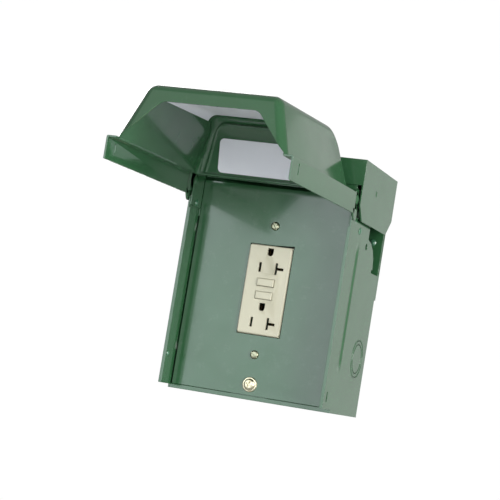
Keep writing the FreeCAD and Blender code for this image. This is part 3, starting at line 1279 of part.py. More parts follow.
def make_ground_contacts():
    """The ground clips behind the ground holes."""
    gap = "(dims.ground_width / 2)"
    outer = f"({gap} + dims.contact_sheet)"
    half = "dims.ground_clip_height / 2"
    clips = []
    for row in ("(dims.upper_blades + dims.ground_rise)", f"({LOWER_BLADES} + dims.ground_rise)"):
        upright = (f"{row} - {half}", f"{row} + {half}")
        sides = [block(side_span(sign, gap, outer), (f"{BOARD} - dims.contact_depth", BOARD), upright)
                 for sign in (1, -1)]
        base = block((minus(outer), outer), (f"{BOARD} - dims.contact_sheet", BOARD), upright)
        clips.append(join(sides + [base]))
    keep(group(clips), "ground_contacts")


def make_terminal_screws(label, sign):
    """Two terminal screws in one side of the receptacle housing."""
    screws = []
    wall = "(dims.housing_width / 2)"
    outward = "+x" if sign > 0 else "-x"
    for z in both_sides("dims.terminal_pitch / 2"):
        centre = (f"{PANEL} + dims.terminal_back", z)
        shank = rod("x", centre, *side_span(sign, f"{wall} - dims.housing_wall", wall), "dims.terminal_shank")
        skirt_end = f"({wall} + dims.terminal_head_height - dims.terminal_dome)"
        skirt = rod("x", centre, *side_span(sign, wall, skirt_end), "dims.terminal_head")
        seat = skirt_end if sign > 0 else minus(skirt_end)
        head = dome_head(outward, (seat, *centre), "dims.terminal_head", "dims.terminal_dome")
        top = f"({wall} + dims.terminal_head_height)"
        slot_depth = side_span(sign, f"{top} - dims.screw_slot_depth", f"{top} + {PAST}")
        across = (f"{centre[0]} - dims.terminal_head", f"{centre[0]} + dims.terminal_head")
        slot = block(slot_depth, across, slot_span(z, "dims.screw_slot"))
        screws.append(remove(join([shank, skirt, head]), [slot]))
    keep(group(screws), label)


def ground_screw_place():
    """The ground screw's place in X and Z, in the lower yoke ear."""
    return ("dims.ground_screw_side", f"(-{HOUSING_TALL} - dims.ground_screw_drop)")


def make_ground_screw():
    """The ground screw in the lower ear of the yoke, with its head behind."""
    x, z = ground_screw_place()
    head_end = f"({YOKE_BACK} + dims.terminal_head_height)"
    shank = rod("y", (x, z), PANEL_BACK, YOKE_BACK, "dims.terminal_shank")
    head = rod("y", (x, z), YOKE_BACK, head_end, "dims.terminal_head")
    across = (f"{x} - dims.terminal_head", f"{x} + dims.terminal_head")
    depth = (f"{head_end} - dims.screw_slot_depth", f"{head_end} + {PAST}")
    slot = block(across, depth, slot_span(z, "dims.screw_slot"))
    keep(remove(join([shank, head]), [slot]), "ground_terminal_screw")


def slot_span(middle, width):
    """The low and high side of a screwdriver slot round a place."""
    return (f"{middle} - {width} / 2", f"{middle} + {width} / 2")


def housing_screw_places():
    """The four corner screws of the receptacle, in X and Z."""
    inset = "dims.housing_post / 2 + dims.housing_wall / 2"
    return [(x, z) for x in both_sides(f"(dims.housing_width / 2 - ({inset}))")
            for z in both_sides(f"({HOUSING_TALL} - ({inset}))")]


def make_circuit_board():
    """The ground-fault circuit board across the housing."""
    half_x = "(dims.housing_width / 2 - dims.housing_wall - dims.seat_gap)"
    half_z = f"({HOUSING_TALL} - dims.housing_wall - dims.housing_post - dims.seat_gap)"
    board = block(both_sides(half_x), (BOARD, BOARD_BACK), both_sides(half_z))
    keep(board, "circuit_board")


def make_sensing_coil():
    """The ring coil that senses an unbalanced current, flat against the back of the board."""
    coil = doc.addObject("Part::Torus", "sensing_ring")
    coil.Placement = FreeCAD.Placement(FreeCAD.Vector(), FreeCAD.Rotation(AXES["z"], AXES["y"]))
    coil.setExpression("Radius1", "dims.coil_radius")
    coil.setExpression("Radius2", "dims.coil_section / 2")
    behind_board = f"{BOARD_BACK} + dims.coil_section / 2 + dims.thread_play"
    set_place(coil, minus("dims.coil_side"), behind_board, minus("dims.coil_drop"))
    keep(coil, "sensing_coil")


def make_solenoid():
    """The trip solenoid and its plunger, upright behind the board."""
    place = ("dims.solenoid_side", f"({BOARD_BACK} + dims.solenoid_diameter / 2 + dims.thread_play)")
    low = "dims.solenoid_low"
    high = f"({low} + dims.solenoid_length)"
    bobbin = rod("z", place, low, high, "dims.solenoid_diameter")
    bore_size = "dims.plunger_diameter + 2 * dims.plunger_gap"
    bore = rod("z", place, f"{low} - {PAST}", f"{high} + {PAST}", bore_size)
    keep(remove(bobbin, [bore]), "trip_solenoid")
    plunger_top = f"({high} - dims.plunger_inset)"
    plunger = rod("z", place, f"{plunger_top} - dims.plunger_length", plunger_top, "dims.plunger_diameter")
    keep(plunger, "solenoid_plunger")


def make_housing_screws():
    """Four long screws that hold the receptacle together from the rear."""
    screws = []
    for x, z in housing_screw_places():
        shank = rod("y", (x, z), YOKE_BACK, HOUSING_BACK, "dims.housing_screw")
        head = dome_head("+y", (x, HOUSING_BACK, z), "2 * dims.housing_screw", "dims.housing_screw / 2")
        screws.append(join([shank, head]))
    keep(group(screws), "housing_screws")


# Ground bar


def make_ground_bar():
    """The tin plated ground bar on the box back, with its clamp screws and fixing screw."""
    rear = f"({BACK_INNER} - dims.bar_foot)"
    front = f"({rear} - dims.bar_depth)"
    half = "dims.bar_length / 2"
    foot_half = "dims.bar_foot_length / 2"
    across = (f"{BAR_X} - dims.bar_width / 2", f"{BAR_X} + dims.bar_width / 2")
    beyond = (f"{across[0]} - {PAST}", f"{across[1]} + {PAST}")
    bar = block(across, (front, rear), (f"dims.bar_height - {half}", f"dims.bar_height + {half}"))
    foot_span = (f"dims.bar_height - {foot_half}", f"dims.bar_height + {foot_half}")
    foot = block(across, (rear, BACK_INNER), foot_span)
    heights = [f"(dims.bar_height + ({step}) * dims.bar_screw_pitch)" for step in (-1.5, -0.5, 0.5, 1.5)]
    wire_y = f"({front} + dims.bar_wire_place)"
    tools = [rod("y", (BAR_X, z), f"{front} - {PAST}", f"{rear} + {PAST}", TERMINAL_HOLE) for z in heights]
    tools += [rod("x", (wire_y, z), *beyond, "dims.bar_wire_hole") for z in heights]
    fixing_place = (BAR_X, "dims.bar_height")
    tools.append(rod("y", fixing_place, f"{front} - {PAST}", f"{BACK_INNER} + {PAST}", TERMINAL_HOLE))
    keep(remove(join([bar, foot]), tools), "ground_bar")
    clamp_front = f"({front} - dims.bar_screw_out)"
    fixing_front = f"({front} - dims.bar_fixing_out)"
    screws = [slotted_rod(z, clamp_front, f"{front} + dims.bar_screw_in") for z in heights]
    screws.append(slotted_rod("dims.bar_height", fixing_front, BACK))
    keep(group(screws), "ground_bar_screws")


def slotted_rod(z, front, rear):
    """A headless ground bar screw with a screwdriver slot in its front end."""
    shank = rod("y", (BAR_X, z), front, rear, "dims.terminal_shank")
    across = (f"{BAR_X} - dims.terminal_shank", f"{BAR_X} + dims.terminal_shank")
    depth = (f"{front} - {PAST}", f"{front} + dims.screw_slot_depth")
    return remove(shank, [block(across, depth, slot_span(z, "dims.plate_screw_slot"))])


def build():
    """Makes every piece."""
    make_box_body()
    make_bottom_plate()
    make_hood()
    make_mounting_plate()
    make_spacer_rivets()
    make_header_rail()
    make_hinge_bracket("hinge_bracket_right", 1)
    make_hinge_bracket("hinge_bracket_left", -1)
    make_bracket_rivets()
    make_hinge_rivet("hinge_rivet_right", 1)
    make_hinge_rivet("hinge_rivet_left", -1)
    make_hem_rivet()
    make_lid_shell()
    make_lid_label()
    make_panel()
    make_panel_screw()
    make_panel_bracket()
    make_plate_screws()
    make_yoke()
    make_face()
    make_housing()
    make_button("test_button", "dims.test_height")
    make_button("reset_button", "dims.reset_height")
    make_button_spring("test_spring", "dims.test_height")
    make_button_spring("reset_spring", "dims.reset_height")
    make_blade_contacts("neutral_contacts", 1)
    make_blade_contacts("hot_contacts", -1)
    make_ground_contacts()
    make_terminal_screws("silver_terminal_screws", 1)
    make_terminal_screws("brass_terminal_screws", -1)
    make_ground_screw()
    make_circuit_board()
    make_sensing_coil()
    make_solenoid()
    make_housing_screws()
    make_ground_bar()


def check_document():
    """Stops if any object failed or any piece is empty or invalid."""
    for obj in doc.Objects:
        if "Invalid" in obj.State or "Error" in obj.State:
            raise RuntimeError(f"{obj.Label} is {obj.State}")
    for piece in pieces:
        if piece.Shape.isNull() or not piece.Shape.isValid() or not piece.Shape.Solids:
            raise RuntimeError(f"{piece.Label} has no valid solid")


def write_pieces():
    """Writes each piece to its own file."""
    os.makedirs("parts", exist_ok=True)
    for piece in pieces:
        piece.Shape.exportStep(f"parts/{piece.Label}.step")
        box = piece.Shape.BoundBox
        spans = ((box.XMin, box.XMax), (box.YMin, box.YMax), (box.ZMin, box.ZMax))
        extent = ", ".join(f"{low:.1f} to {high:.1f}" for low, high in spans)
        print(f"{piece.Label}: {len(piece.Shape.Solids)} solids, {piece.Shape.Volume:.0f} mm3, {extent}")


fill_sheet()
build()
doc.recompute()
check_document()
write_pieces()
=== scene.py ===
"""Looks of the outdoor power outlet panel: painted steel, moulded plastic, plated screws."""

import logging
import math
from collections.abc import Callable
from dataclasses import dataclass, field
from enum import Enum
from functools import cache

import bmesh
import bpy
from mathutils import Matrix, Vector


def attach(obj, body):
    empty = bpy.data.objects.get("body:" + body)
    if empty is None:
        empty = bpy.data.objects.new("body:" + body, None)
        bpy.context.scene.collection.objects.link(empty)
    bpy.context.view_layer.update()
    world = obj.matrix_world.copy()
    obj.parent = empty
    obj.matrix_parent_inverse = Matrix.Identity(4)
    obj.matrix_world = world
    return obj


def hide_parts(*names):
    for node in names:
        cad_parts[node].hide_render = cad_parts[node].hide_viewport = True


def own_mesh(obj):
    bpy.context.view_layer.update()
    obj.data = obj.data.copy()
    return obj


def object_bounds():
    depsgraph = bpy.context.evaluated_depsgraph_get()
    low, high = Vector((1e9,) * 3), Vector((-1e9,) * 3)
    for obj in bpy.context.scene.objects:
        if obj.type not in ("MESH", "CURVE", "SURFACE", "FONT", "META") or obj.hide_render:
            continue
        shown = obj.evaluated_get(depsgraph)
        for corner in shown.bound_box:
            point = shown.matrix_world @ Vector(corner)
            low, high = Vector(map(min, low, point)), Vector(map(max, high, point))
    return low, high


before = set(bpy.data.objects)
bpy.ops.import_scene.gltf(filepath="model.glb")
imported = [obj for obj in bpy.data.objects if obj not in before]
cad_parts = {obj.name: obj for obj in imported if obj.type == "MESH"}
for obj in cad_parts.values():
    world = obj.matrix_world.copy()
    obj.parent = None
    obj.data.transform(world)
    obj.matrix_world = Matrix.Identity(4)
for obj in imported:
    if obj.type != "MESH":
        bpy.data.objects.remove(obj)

CAD_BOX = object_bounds()
MM = 0.001
NEAR = 0.1  # How close, in mm, a picked part lies to the level that it is picked by
PAST = 3.0  # How far, in mm, a cutting tool reaches past what it cuts
X, Y, Z = 0, 1, 2
Point = tuple[float, float, float]
Pair = tuple[float, float]
Test = Callable[..., bool]
log = logging.getLogger("outlet_panel")


# Small helpers


def linear(hex_colour: str) -> tuple[float, float, float, float]:
    """Turns an sRGB hex colour into linear light.

    Args:
        hex_colour: Six hex digits, such as "2f5a3c".

    Returns:
        Red, green, blue and an alpha of one.
    """
    shares = [int(hex_colour[i:i + 2], 16) / 255 for i in (0, 2, 4)]
    return (*[c / 12.92 if c <= 0.04045 else ((c + 0.055) / 1.055) ** 2.4 for c in shares], 1.0)


@dataclass
class Weave:
    """The node tree of a material or a world, with one way to add a node."""

    owner: bpy.types.Material | bpy.types.World

    @classmethod
    def start(cls, owner: bpy.types.Material | bpy.types.World) -> "Weave":
        """Empties the tree of a new material or world."""
        owner.use_nodes = True
        owner.node_tree.nodes.clear()
        return cls(owner)

    def add(self, kind: str, settings: dict | None = None, **links: object) -> bpy.types.Node:
        """Adds a node with its settings and what feeds it.

        Args:
            kind: The node's type, such as "ShaderNodeTexNoise".
            settings: Properties to set on the node itself.
            **links: Input names, with spaces as underscores, and either a value or a socket.

        Returns:
            The new node.
        """
        node = self.owner.node_tree.nodes.new(kind)
        for name, setting in (settings or {}).items():
            setattr(node, name, setting)
        for name, given in links.items():
            number = name.removeprefix("input_")
            socket = node.inputs[int(number) if number.isdigit() else name.replace("_", " ")]
            if isinstance(given, bpy.types.NodeSocket):
                self.owner.node_tree.links.new(given, socket)
            else:
                socket.default_value = given
        return node

    def relief(self, height: bpy.types.NodeSocket, height_mm: float, edge_mm: float) -> bpy.types.NodeSocket:
        """Raises a pattern on a surface whose edges catch the light as if rounded.

        Args:
            height: The pattern.
            height_mm: How high it stands.
            edge_mm: The rounding of the edges.

        Returns:
            The normal to shade with.
        """
        edge = self.add("ShaderNodeBevel", {"samples": 6}, Radius=edge_mm * MM)
        bump = self.add("ShaderNodeBump", Height=height, Distance=height_mm * MM,
                        Normal=edge.outputs["Normal"])
        return bump.outputs["Normal"]

    def close(self, **links: object) -> bpy.types.Material:
        """Ends a material with its shader and its output.

        Args:
            **links: The shader's inputs, as add() takes them.

        Returns:
            The material.
        """
        shader = self.add("ShaderNodeBsdfPrincipled", **links)
        self.add("ShaderNodeOutputMaterial", Surface=shader.outputs["BSDF"])
        return self.owner


# Finishes: the scale of each pattern is the size in millimetres of its blots on the real surface


@dataclass(frozen=True)
class PowderPaint:
    """Green powder paint baked on steel sheet: glossy, with fine orange peel and a little dust."""

    name: str = "powder_painted_steel"
    green: str = "33603f"
    deep_green: str = "28502f"
    dust: str = "6d8a74"
    roughness: float = 0.17
    tone_mm: float = 38.0
    dust_mm: float = 7.0
    dust_most: float = 0.16
    smudge_mm: float = 16.0
    smudge_swing: Pair = (-0.04, 0.07)
    peel_mm: float = 1.6
    peel_height_mm: float = 0.003
    edge_round_mm: float = 0.45
    coat: float = 0.4
    coat_roughness: float = 0.07

    def make(self) -> bpy.types.Material:
        """Builds the material: the peel breaks up reflections, and dust lifts the colour in patches.

        Returns:
            The material.
        """
        weave = Weave.start(bpy.data.materials.new(self.name))
        place = weave.add("ShaderNodeTexCoord").outputs["Object"]
        tone = weave.add("ShaderNodeTexNoise", Vector=place, Scale=1 / (self.tone_mm * MM), Detail=3.0,
                         Roughness=0.55)
        paint = weave.add("ShaderNodeMix", {"data_type": "RGBA"}, input_0=tone.outputs["Fac"],
                          input_6=linear(self.deep_green), input_7=linear(self.green))
        patches = weave.add("ShaderNodeTexNoise", Vector=place, Scale=1 / (self.dust_mm * MM), Detail=5.0,
                            Roughness=0.7)
        dust = weave.add("ShaderNodeMapRange", Value=patches.outputs["Fac"], From_Min=0.56, From_Max=0.8,
                         To_Min=0.0, To_Max=self.dust_most)
        colour = weave.add("ShaderNodeMix", {"data_type": "RGBA"}, input_0=dust.outputs["Result"],
                           input_6=paint.outputs[2], input_7=linear(self.dust))
        smudge = weave.add("ShaderNodeTexNoise", Vector=place, Scale=1 / (self.smudge_mm * MM), Detail=4.0)
        least, most = (self.roughness + swing for swing in self.smudge_swing)
        rough = weave.add("ShaderNodeMapRange", Value=smudge.outputs["Fac"], From_Min=0.3, From_Max=0.75,
                          To_Min=least, To_Max=most)
        peel = weave.add("ShaderNodeTexNoise", Vector=place, Scale=1 / (self.peel_mm * MM), Detail=2.0)
        normal = weave.relief(peel.outputs["Fac"], self.peel_height_mm, self.edge_round_mm)
        return weave.close(Base_Color=colour.outputs[2], Roughness=rough.outputs["Result"], IOR=1.5,
                           Normal=normal, Coat_Weight=self.coat, Coat_Roughness=self.coat_roughness)


@dataclass(frozen=True)
class MouldedPlastic:
    """Injection moulded plastic: an even colour with faint flow and a fine spark-eroded grain."""

    name: str
    colour: str
    shade: str
    roughness: float = 0.38
    flow_mm: float = 14.0
    grain_mm: float = 0.35
    grain_height_mm: float = 0.006
    edge_round_mm: float = 0.25

    def make(self) -> bpy.types.Material:
        """Builds the material: the flow shades the colour and the grain blurs reflections.

        Returns:
            The material.
        """
        weave = Weave.start(bpy.data.materials.new(self.name))
        place = weave.add("ShaderNodeTexCoord").outputs["Object"]
        flow = weave.add("ShaderNodeTexNoise", Vector=place, Scale=1 / (self.flow_mm * MM), Detail=4.0)
        colour = weave.add("ShaderNodeMix", {"data_type": "RGBA"}, input_0=flow.outputs["Fac"],
                           input_6=linear(self.shade), input_7=linear(self.colour))
        grain = weave.add("ShaderNodeTexNoise", Vector=place, Scale=1 / (self.grain_mm * MM), Detail=1.0)
        normal = weave.relief(grain.outputs["Fac"], self.grain_height_mm, self.edge_round_mm)
        return weave.close(Base_Color=colour.outputs[2], Roughness=self.roughness, IOR=1.53, Normal=normal)


@dataclass(frozen=True)
class PlatedMetal:
    """Plated or drawn metal: turned marks, a few darker stains and soft edges."""

    name: str
    colour: str
    stain: str
    roughness: float = 0.28
    stain_mm: float = 3.0
    mark_mm: float = 0.4
    mark_height_mm: float = 0.01
    edge_round_mm: float = 0.2

    def make(self) -> bpy.types.Material:
        """Builds the material: the stains darken the metal and the marks break up its shine.

        Returns:
            The material.
        """
        weave = Weave.start(bpy.data.materials.new(self.name))
        place = weave.add("ShaderNodeTexCoord").outputs["Object"]
        stains = weave.add("ShaderNodeTexNoise", Vector=place, Scale=1 / (self.stain_mm * MM), Detail=4.0)
        share = weave.add("ShaderNodeMapRange", Value=stains.outputs["Fac"], From_Min=0.5, From_Max=0.75)
        colour = weave.add("ShaderNodeMix", {"data_type": "RGBA"}, input_0=share.outputs["Result"],
                           input_6=linear(self.colour), input_7=linear(self.stain))
        marks = weave.add("ShaderNodeTexNoise", Vector=place, Scale=1 / (self.mark_mm * MM), Detail=2.0)
        normal = weave.relief(marks.outputs["Fac"], self.mark_height_mm, self.edge_round_mm)
        return weave.close(Base_Color=colour.outputs[2], Metallic=1.0, Roughness=self.roughness,
                           Normal=normal)


@dataclass(frozen=True)
class PrintedFilm:
    """Plain white polyester label film, a little wavy where it was smoothed on."""

    name: str = "polyester_label_film"
    colour: str = "f3f4f9"
    shade: str = "e6e7ee"
    wave_mm: float = 22.0
    wave_height_mm: float = 0.15
    roughness: float = 0.35

    def make(self) -> bpy.types.Material:
        """Builds the material: the waves shade the white and bend its sheen.

        Returns:
            The material.
        """
        weave = Weave.start(bpy.data.materials.new(self.name))
        place = weave.add("ShaderNodeTexCoord").outputs["Object"]
        wave = weave.add("ShaderNodeTexNoise", Vector=place, Scale=1 / (self.wave_mm * MM), Detail=2.0)
        colour = weave.add("ShaderNodeMix", {"data_type": "RGBA"}, input_0=wave.outputs["Fac"],
                           input_6=linear(self.shade), input_7=linear(self.colour))
        bump = weave.add("ShaderNodeBump", Height=wave.outputs["Fac"], Distance=self.wave_height_mm * MM)
        return weave.close(Base_Color=colour.outputs[2], Roughness=self.roughness,
                           Normal=bump.outputs["Normal"])


class Finish(Enum):
    """Every finish of the object, with how its surface was made."""

    # Powder sprayed on sheet and baked: a deep gloss over orange peel
    PAINT = PowderPaint()
    # The same paint on a rivet's dome with a glossier coat for a sharper glint; its colour is paler than the
    # paint as a painted highlight
    RIVET = PowderPaint("rivet_steel_paler_as_painted_highlight", "44735a", "335f42", "86a48e", 0.13, coat=0.9)
    # Stamped steel coloured near black as painted shade, so that the gap round the receptacle's face looks
    # dark: a dull sheen
    DARK_STEEL = PlatedMetal("steel_darkened_as_painted_gap_shade", "1c1c1b", "121212", roughness=0.5)
    # Stuck on and smoothed down: white and half matt
    LABEL = PrintedFilm()
    # Injection moulded: an even colour and a soft sheen
    ALMOND = MouldedPlastic("moulded_almond_nylon", "cdc9b1", "c4bfa7")
    BLACK = MouldedPlastic("moulded_black_nylon", "1c1c1d", "262628", roughness=0.5)
    # Pressed glass cloth under green lacquer: the weave shows as a coarser grain
    BOARD = MouldedPlastic("lacquered_glass_fibre_board", "1f4f2c", "1a4526", roughness=0.3, grain_mm=0.8)
    # Turned and plated: bright, with darker stains where the plating has dulled
    BRASS = PlatedMetal("brass_plated_steel", "c6c0a6", "857a5a", roughness=0.26)
    PALE_BRASS = PlatedMetal("dulled_brass_plated_steel", "9b9c84", "62634b", roughness=0.3)
    ZINC = PlatedMetal("zinc_plated_steel", "c3c4c0", "8f918d", roughness=0.3)
    # Drawn through a die: grey, with fine marks
    SPRING = PlatedMetal("drawn_spring_wire", "8a8a8a", "6b6b6b", roughness=0.35)
    # Stamped bronze strip coloured dark brown as painted shade, so that the slots and ground holes look dark:
    # without shine
    STRIP = PlatedMetal("bronze_strip_darkened_as_painted_shade", "4f4128", "2e2717", roughness=0.5)
    # Wound wire under clear enamel: warm, and streaked by the turns
    COPPER = PlatedMetal("enamelled_copper_winding", "b4673a", "8c4a26", roughness=0.3)
    # Extruded and dipped in tin: pale, with a soft shine
    TIN = PlatedMetal("tin_plated_aluminium", "cfd0cf", "a7a9a8", roughness=0.35)
    # Plated and dyed: green metal
    GREEN_SCREW = PlatedMetal("green_dyed_screw", "2f8a4a", "1f6a38", roughness=0.3)


@cache
def material_of(finish: Finish) -> bpy.types.Material:
    """Makes a finish's material once."""
    return finish.value.make()


# The bench: pieces are shaped in millimetres with Blender's own operators


class Body(Enum):
    """The rigid bodies that a new piece can ride on."""

    ROOT = "root"
    LID = "lid"
    TEST_BUTTON = "test_button"
    RESET_BUTTON = "reset_button"


def deselect() -> None:
    """Deselects every object."""
    bpy.ops.object.select_all(action="DESELECT")


def middle(edge: bmesh.types.BMEdge) -> Vector:
    """Gives the middle of an edge."""
    return (edge.verts[0].co + edge.verts[1].co) / 2


def edges_along(axis: int, where: Test = lambda place: True) -> Test:
    """Makes a test that picks edges by their run and their middle.

    Args:
        axis: X, Y or Z, which the edge follows within a few degrees.
        where: Tells whether the edge's middle is at the right place.

    Returns:
        The test.
    """
    def picked(edge: bmesh.types.BMEdge) -> bool:
        """Tells whether an edge is picked."""
        run = edge.verts[1].co - edge.verts[0].co
        return abs(run[axis]) > 0.97 * run.length > 0 and where(middle(edge))
    return picked


@dataclass
class Workpiece:
    """A mesh shaped in millimetres at its place, as at the bench, before it is set on the object."""

    name: str
    obj: bpy.types.Object

    @classmethod
    def block(cls, name: str, low: Point, high: Point) -> "Workpiece":
        """Starts from a cube.

        Args:
            name: The piece's name.
            low: Its lowest corner.
            high: Its highest corner.

        Returns:
            The piece.
        """
        deselect()
        bpy.ops.mesh.primitive_cube_add(size=1.0, location=[(a + b) / 2 for a, b in zip(low, high)])
        piece = cls(name, bpy.context.object)
        piece.obj.scale = [b - a for a, b in zip(low, high)]
        return piece.settle()

    @classmethod
    def disc(cls, name: str, centre: Point, radius: float, length: float, axis: str = "Y",
             sides: int = 48) -> "Workpiece":
        """Starts from a cylinder.

        Args:
            name: The piece's name.
            centre: Its middle.
            radius: Its radius.
            length: Its length.
            axis: "X" or "Y", which it runs along.
            sides: The number of its sides.

        Returns:
            The piece.
        """
        deselect()
        turn = {"X": (0, math.pi / 2, 0), "Y": (math.pi / 2, 0, 0)}[axis]
        bpy.ops.mesh.primitive_cylinder_add(vertices=sides, radius=radius, depth=length, location=centre,
                                            rotation=turn)
        return cls(name, bpy.context.object).settle()

    @classmethod
    def of_node(cls, name: str, node: str) -> "Workpiece":
        """Starts from a copy of a CAD node, with its loose triangles merged and its flats made whole.

        Args:
            name: The piece's name.
            node: The CAD node's name.

        Returns:
            The piece.
        """
        deselect()
        obj = bpy.data.objects.new(name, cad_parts[node].data.copy())
        bpy.context.scene.collection.objects.link(obj)
        obj.scale = (1 / MM,) * 3
        piece = cls(name, obj).settle()
        piece.edit("VERT", lambda vert: True, lambda: bpy.ops.mesh.remove_doubles(threshold=0.002))
        return piece.edit("FACE", lambda face: True,
                          lambda: bpy.ops.mesh.dissolve_limited(angle_limit=math.radians(0.6)))

    def activate(self) -> None:
        """Selects this piece alone."""
        deselect()
        self.obj.select_set(True)
        bpy.context.view_layer.objects.active = self.obj

    def settle(self) -> "Workpiece":
        """Puts place, turn and scale into the mesh, so that the object sits at the origin."""
        self.activate()
        bpy.ops.object.transform_apply(location=True, rotation=True, scale=True)
        return self

    def edit(self, kind: str, wanted: Test, step: Callable[[], object]) -> "Workpiece":
        """Picks vertices, edges or faces in edit mode and runs one operator on them.

        Args:
            kind: "VERT", "EDGE" or "FACE".
            wanted: Tells whether a part is picked.
            step: The operator call.

        Returns:
            This piece.
        """
        self.activate()
        bpy.ops.object.mode_set(mode="EDIT")
        bpy.ops.mesh.select_mode(type=kind)
        bpy.ops.mesh.select_all(action="DESELECT")
        shape = bmesh.from_edit_mesh(self.obj.data)
        parts = {"VERT": shape.verts, "EDGE": shape.edges, "FACE": shape.faces}[kind]
        for part in [part for part in parts if wanted(part)]:
            part.select_set(True)
        shape.select_flush_mode()
        bmesh.update_edit_mesh(self.obj.data)
        step()
        bpy.ops.object.mode_set(mode="OBJECT")
        return self

    def move(self, wanted: Test, shift: Point) -> "Workpiece":
        """Moves the picked vertices."""
        return self.edit("VERT", wanted, lambda: bpy.ops.transform.translate(value=shift))

    def narrow(self, wanted: Test, share: float) -> "Workpiece":
        """Scales the picked vertices in X about the middle plane."""
        return self.edit("VERT", wanted, lambda: bpy.ops.transform.resize(
            value=(share, 1, 1), center_override=(0, 0, 0)))

    def bevel(self, wanted: Test, offset: float, segments: int) -> "Workpiece":
        """Rounds the picked edges."""
        return self.edit("EDGE", wanted, lambda: bpy.ops.mesh.bevel(
            offset=offset, segments=segments, affect="EDGES", offset_type="OFFSET"))

    def pull(self, wanted: Test, shift: Point) -> "Workpiece":
        """Extrudes the picked faces by a shift."""
        return self.edit("FACE", wanted, lambda: bpy.ops.mesh.extrude_region_move(
            TRANSFORM_OT_translate={"value": shift}))

    def open_up(self, wanted: Test) -> "Workpiece":
        """Deletes the picked faces."""
        return self.edit("FACE", wanted, lambda: bpy.ops.mesh.delete(type="FACE"))

    def turn_over(self) -> "Workpiece":
        """Flips every face."""
        return self.edit("FACE", lambda face: True, lambda: bpy.ops.mesh.flip_normals())

    def slice_level(self, height: float) -> "Workpiece":
        """Adds a ring of edges at a height."""
        return self.edit("FACE", lambda face: True, lambda: bpy.ops.mesh.bisect(
            plane_co=(0, 0, height), plane_no=(0, 0, 1)))

    def modify(self, kind: str, **settings: object) -> "Workpiece":
        """Adds one modifier and applies it.

        Args:
            kind: The modifier's type.
            **settings: Its settings.

        Returns:
            This piece.
        """
        modifier = self.obj.modifiers.new(kind.lower(), kind)
        for name, setting in settings.items():
            setattr(modifier, name, setting)
        self.activate()
        bpy.ops.object.modifier_apply(modifier=modifier.name)
        return self

    def round_edges(self, width: float, segments: int, **settings: object) -> "Workpiece":
        """Rounds every edge that turns by more than 38 degrees, which no facet of a curve does."""
        return self.modify("BEVEL", width=width, segments=segments, limit_method="ANGLE",
                           angle_limit=math.radians(38), use_clamp_overlap=True, **settings)

    def cut(self, tool: "Workpiece") -> "Workpiece":
        """Cuts a tool's shape out of this piece and throws the tool away."""
        self.modify("BOOLEAN", operation="DIFFERENCE", object=tool.obj, solver="EXACT")
        bpy.data.objects.remove(tool.obj)
        return self

    def join(self, *others: "Workpiece") -> "Workpiece":
        """Joins other pieces into this one.

        Args:
            *others: The pieces.

        Returns:
            This piece.
        """
        self.activate()
        for other in others:
            other.obj.select_set(True)
        bpy.ops.object.join()
        return self

    def mirrored(self) -> "Workpiece":
        """Makes the same piece for the other side, with its faces turned outwards again.

        Returns:
            The other side's piece, with a mesh of its own.
        """
        obj = self.obj.copy()
        obj.data = self.obj.data.copy()
        bpy.context.scene.collection.objects.link(obj)
        obj.scale = (-1, 1, 1)
        return Workpiece(self.name + "_twin", obj).settle().turn_over()

    def turn_about(self, point: Point, degrees: float) -> "Workpiece":
        """Turns the mesh about a line along X.

        Args:
            point: A point on the line.
            degrees: How far it turns.

        Returns:
            This piece.
        """
        to_point = Matrix.Translation(Vector(point))
        turn = Matrix.Rotation(math.radians(degrees), 4, "X")
        self.obj.data.transform(to_point @ turn @ to_point.inverted())
        return self

    def finish(self, *replaces: str, body: Body = Body.ROOT, finish: Finish = Finish.PAINT,
               smooth_degrees: float = 32.0) -> bpy.types.Object:
        """Scales the piece to metres, shades and paints it and sets it on its body.

        Args:
            *replaces: The CAD nodes that it takes the place of.
            body: The body that it rides on.
            finish: Its finish.
            smooth_degrees: Faces that meet at less than this are shaded smooth.

        Returns:
            The finished object.
        """
        self.obj.scale = (MM,) * 3
        self.settle()
        self.obj.name = self.name
        self.obj.data.name = self.name
        self.obj.data.materials.clear()
        self.obj.data.materials.append(material_of(finish))
        bpy.ops.object.shade_smooth_by_angle(angle=math.radians(smooth_degrees))
        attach(self.obj, body.value)
        if replaces:
            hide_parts(*replaces)
        log.info("%s: %d faces, %s", self.name, len(self.obj.data.polygons), finish.value.name)
        return self.obj


# Sub-assemblies: sizes and places are millimetres in the part's frame, X right, Y back and Z up


@dataclass
class CarriedNodes:
    """The CAD nodes that keep their own solids, and the finish of each."""

    finishes: dict[Finish, tuple[str, ...]] = field(default_factory=lambda: {
        Finish.BLACK: ("receptacle_housing",),
        Finish.BOARD: ("circuit_board",),
        Finish.BRASS: ("brass_terminal_screws",),
        Finish.ZINC: ("silver_terminal_screws", "housing_screws", "solenoid_plunger", "ground_bar_screws"),
        # The yoke's near-black colour is painted shade for the gap round the receptacle's face
        Finish.DARK_STEEL: ("mounting_yoke",),
        # The contacts' dark brown is painted shade for the slots and ground holes
        Finish.STRIP: ("hot_contacts", "neutral_contacts", "ground_contacts"),
        Finish.COPPER: ("sensing_coil", "trip_solenoid"),
        Finish.TIN: ("ground_bar",),
        Finish.GREEN_SCREW: ("ground_terminal_screw",),
    })

    def dress(self) -> None:
        """Puts each finish on every slot of its nodes."""
        for finish, nodes in self.finishes.items():
            for node in nodes:
                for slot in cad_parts[node].material_slots:
                    slot.material = material_of(finish)
                log.info("%s: %s", node, finish.value.name)


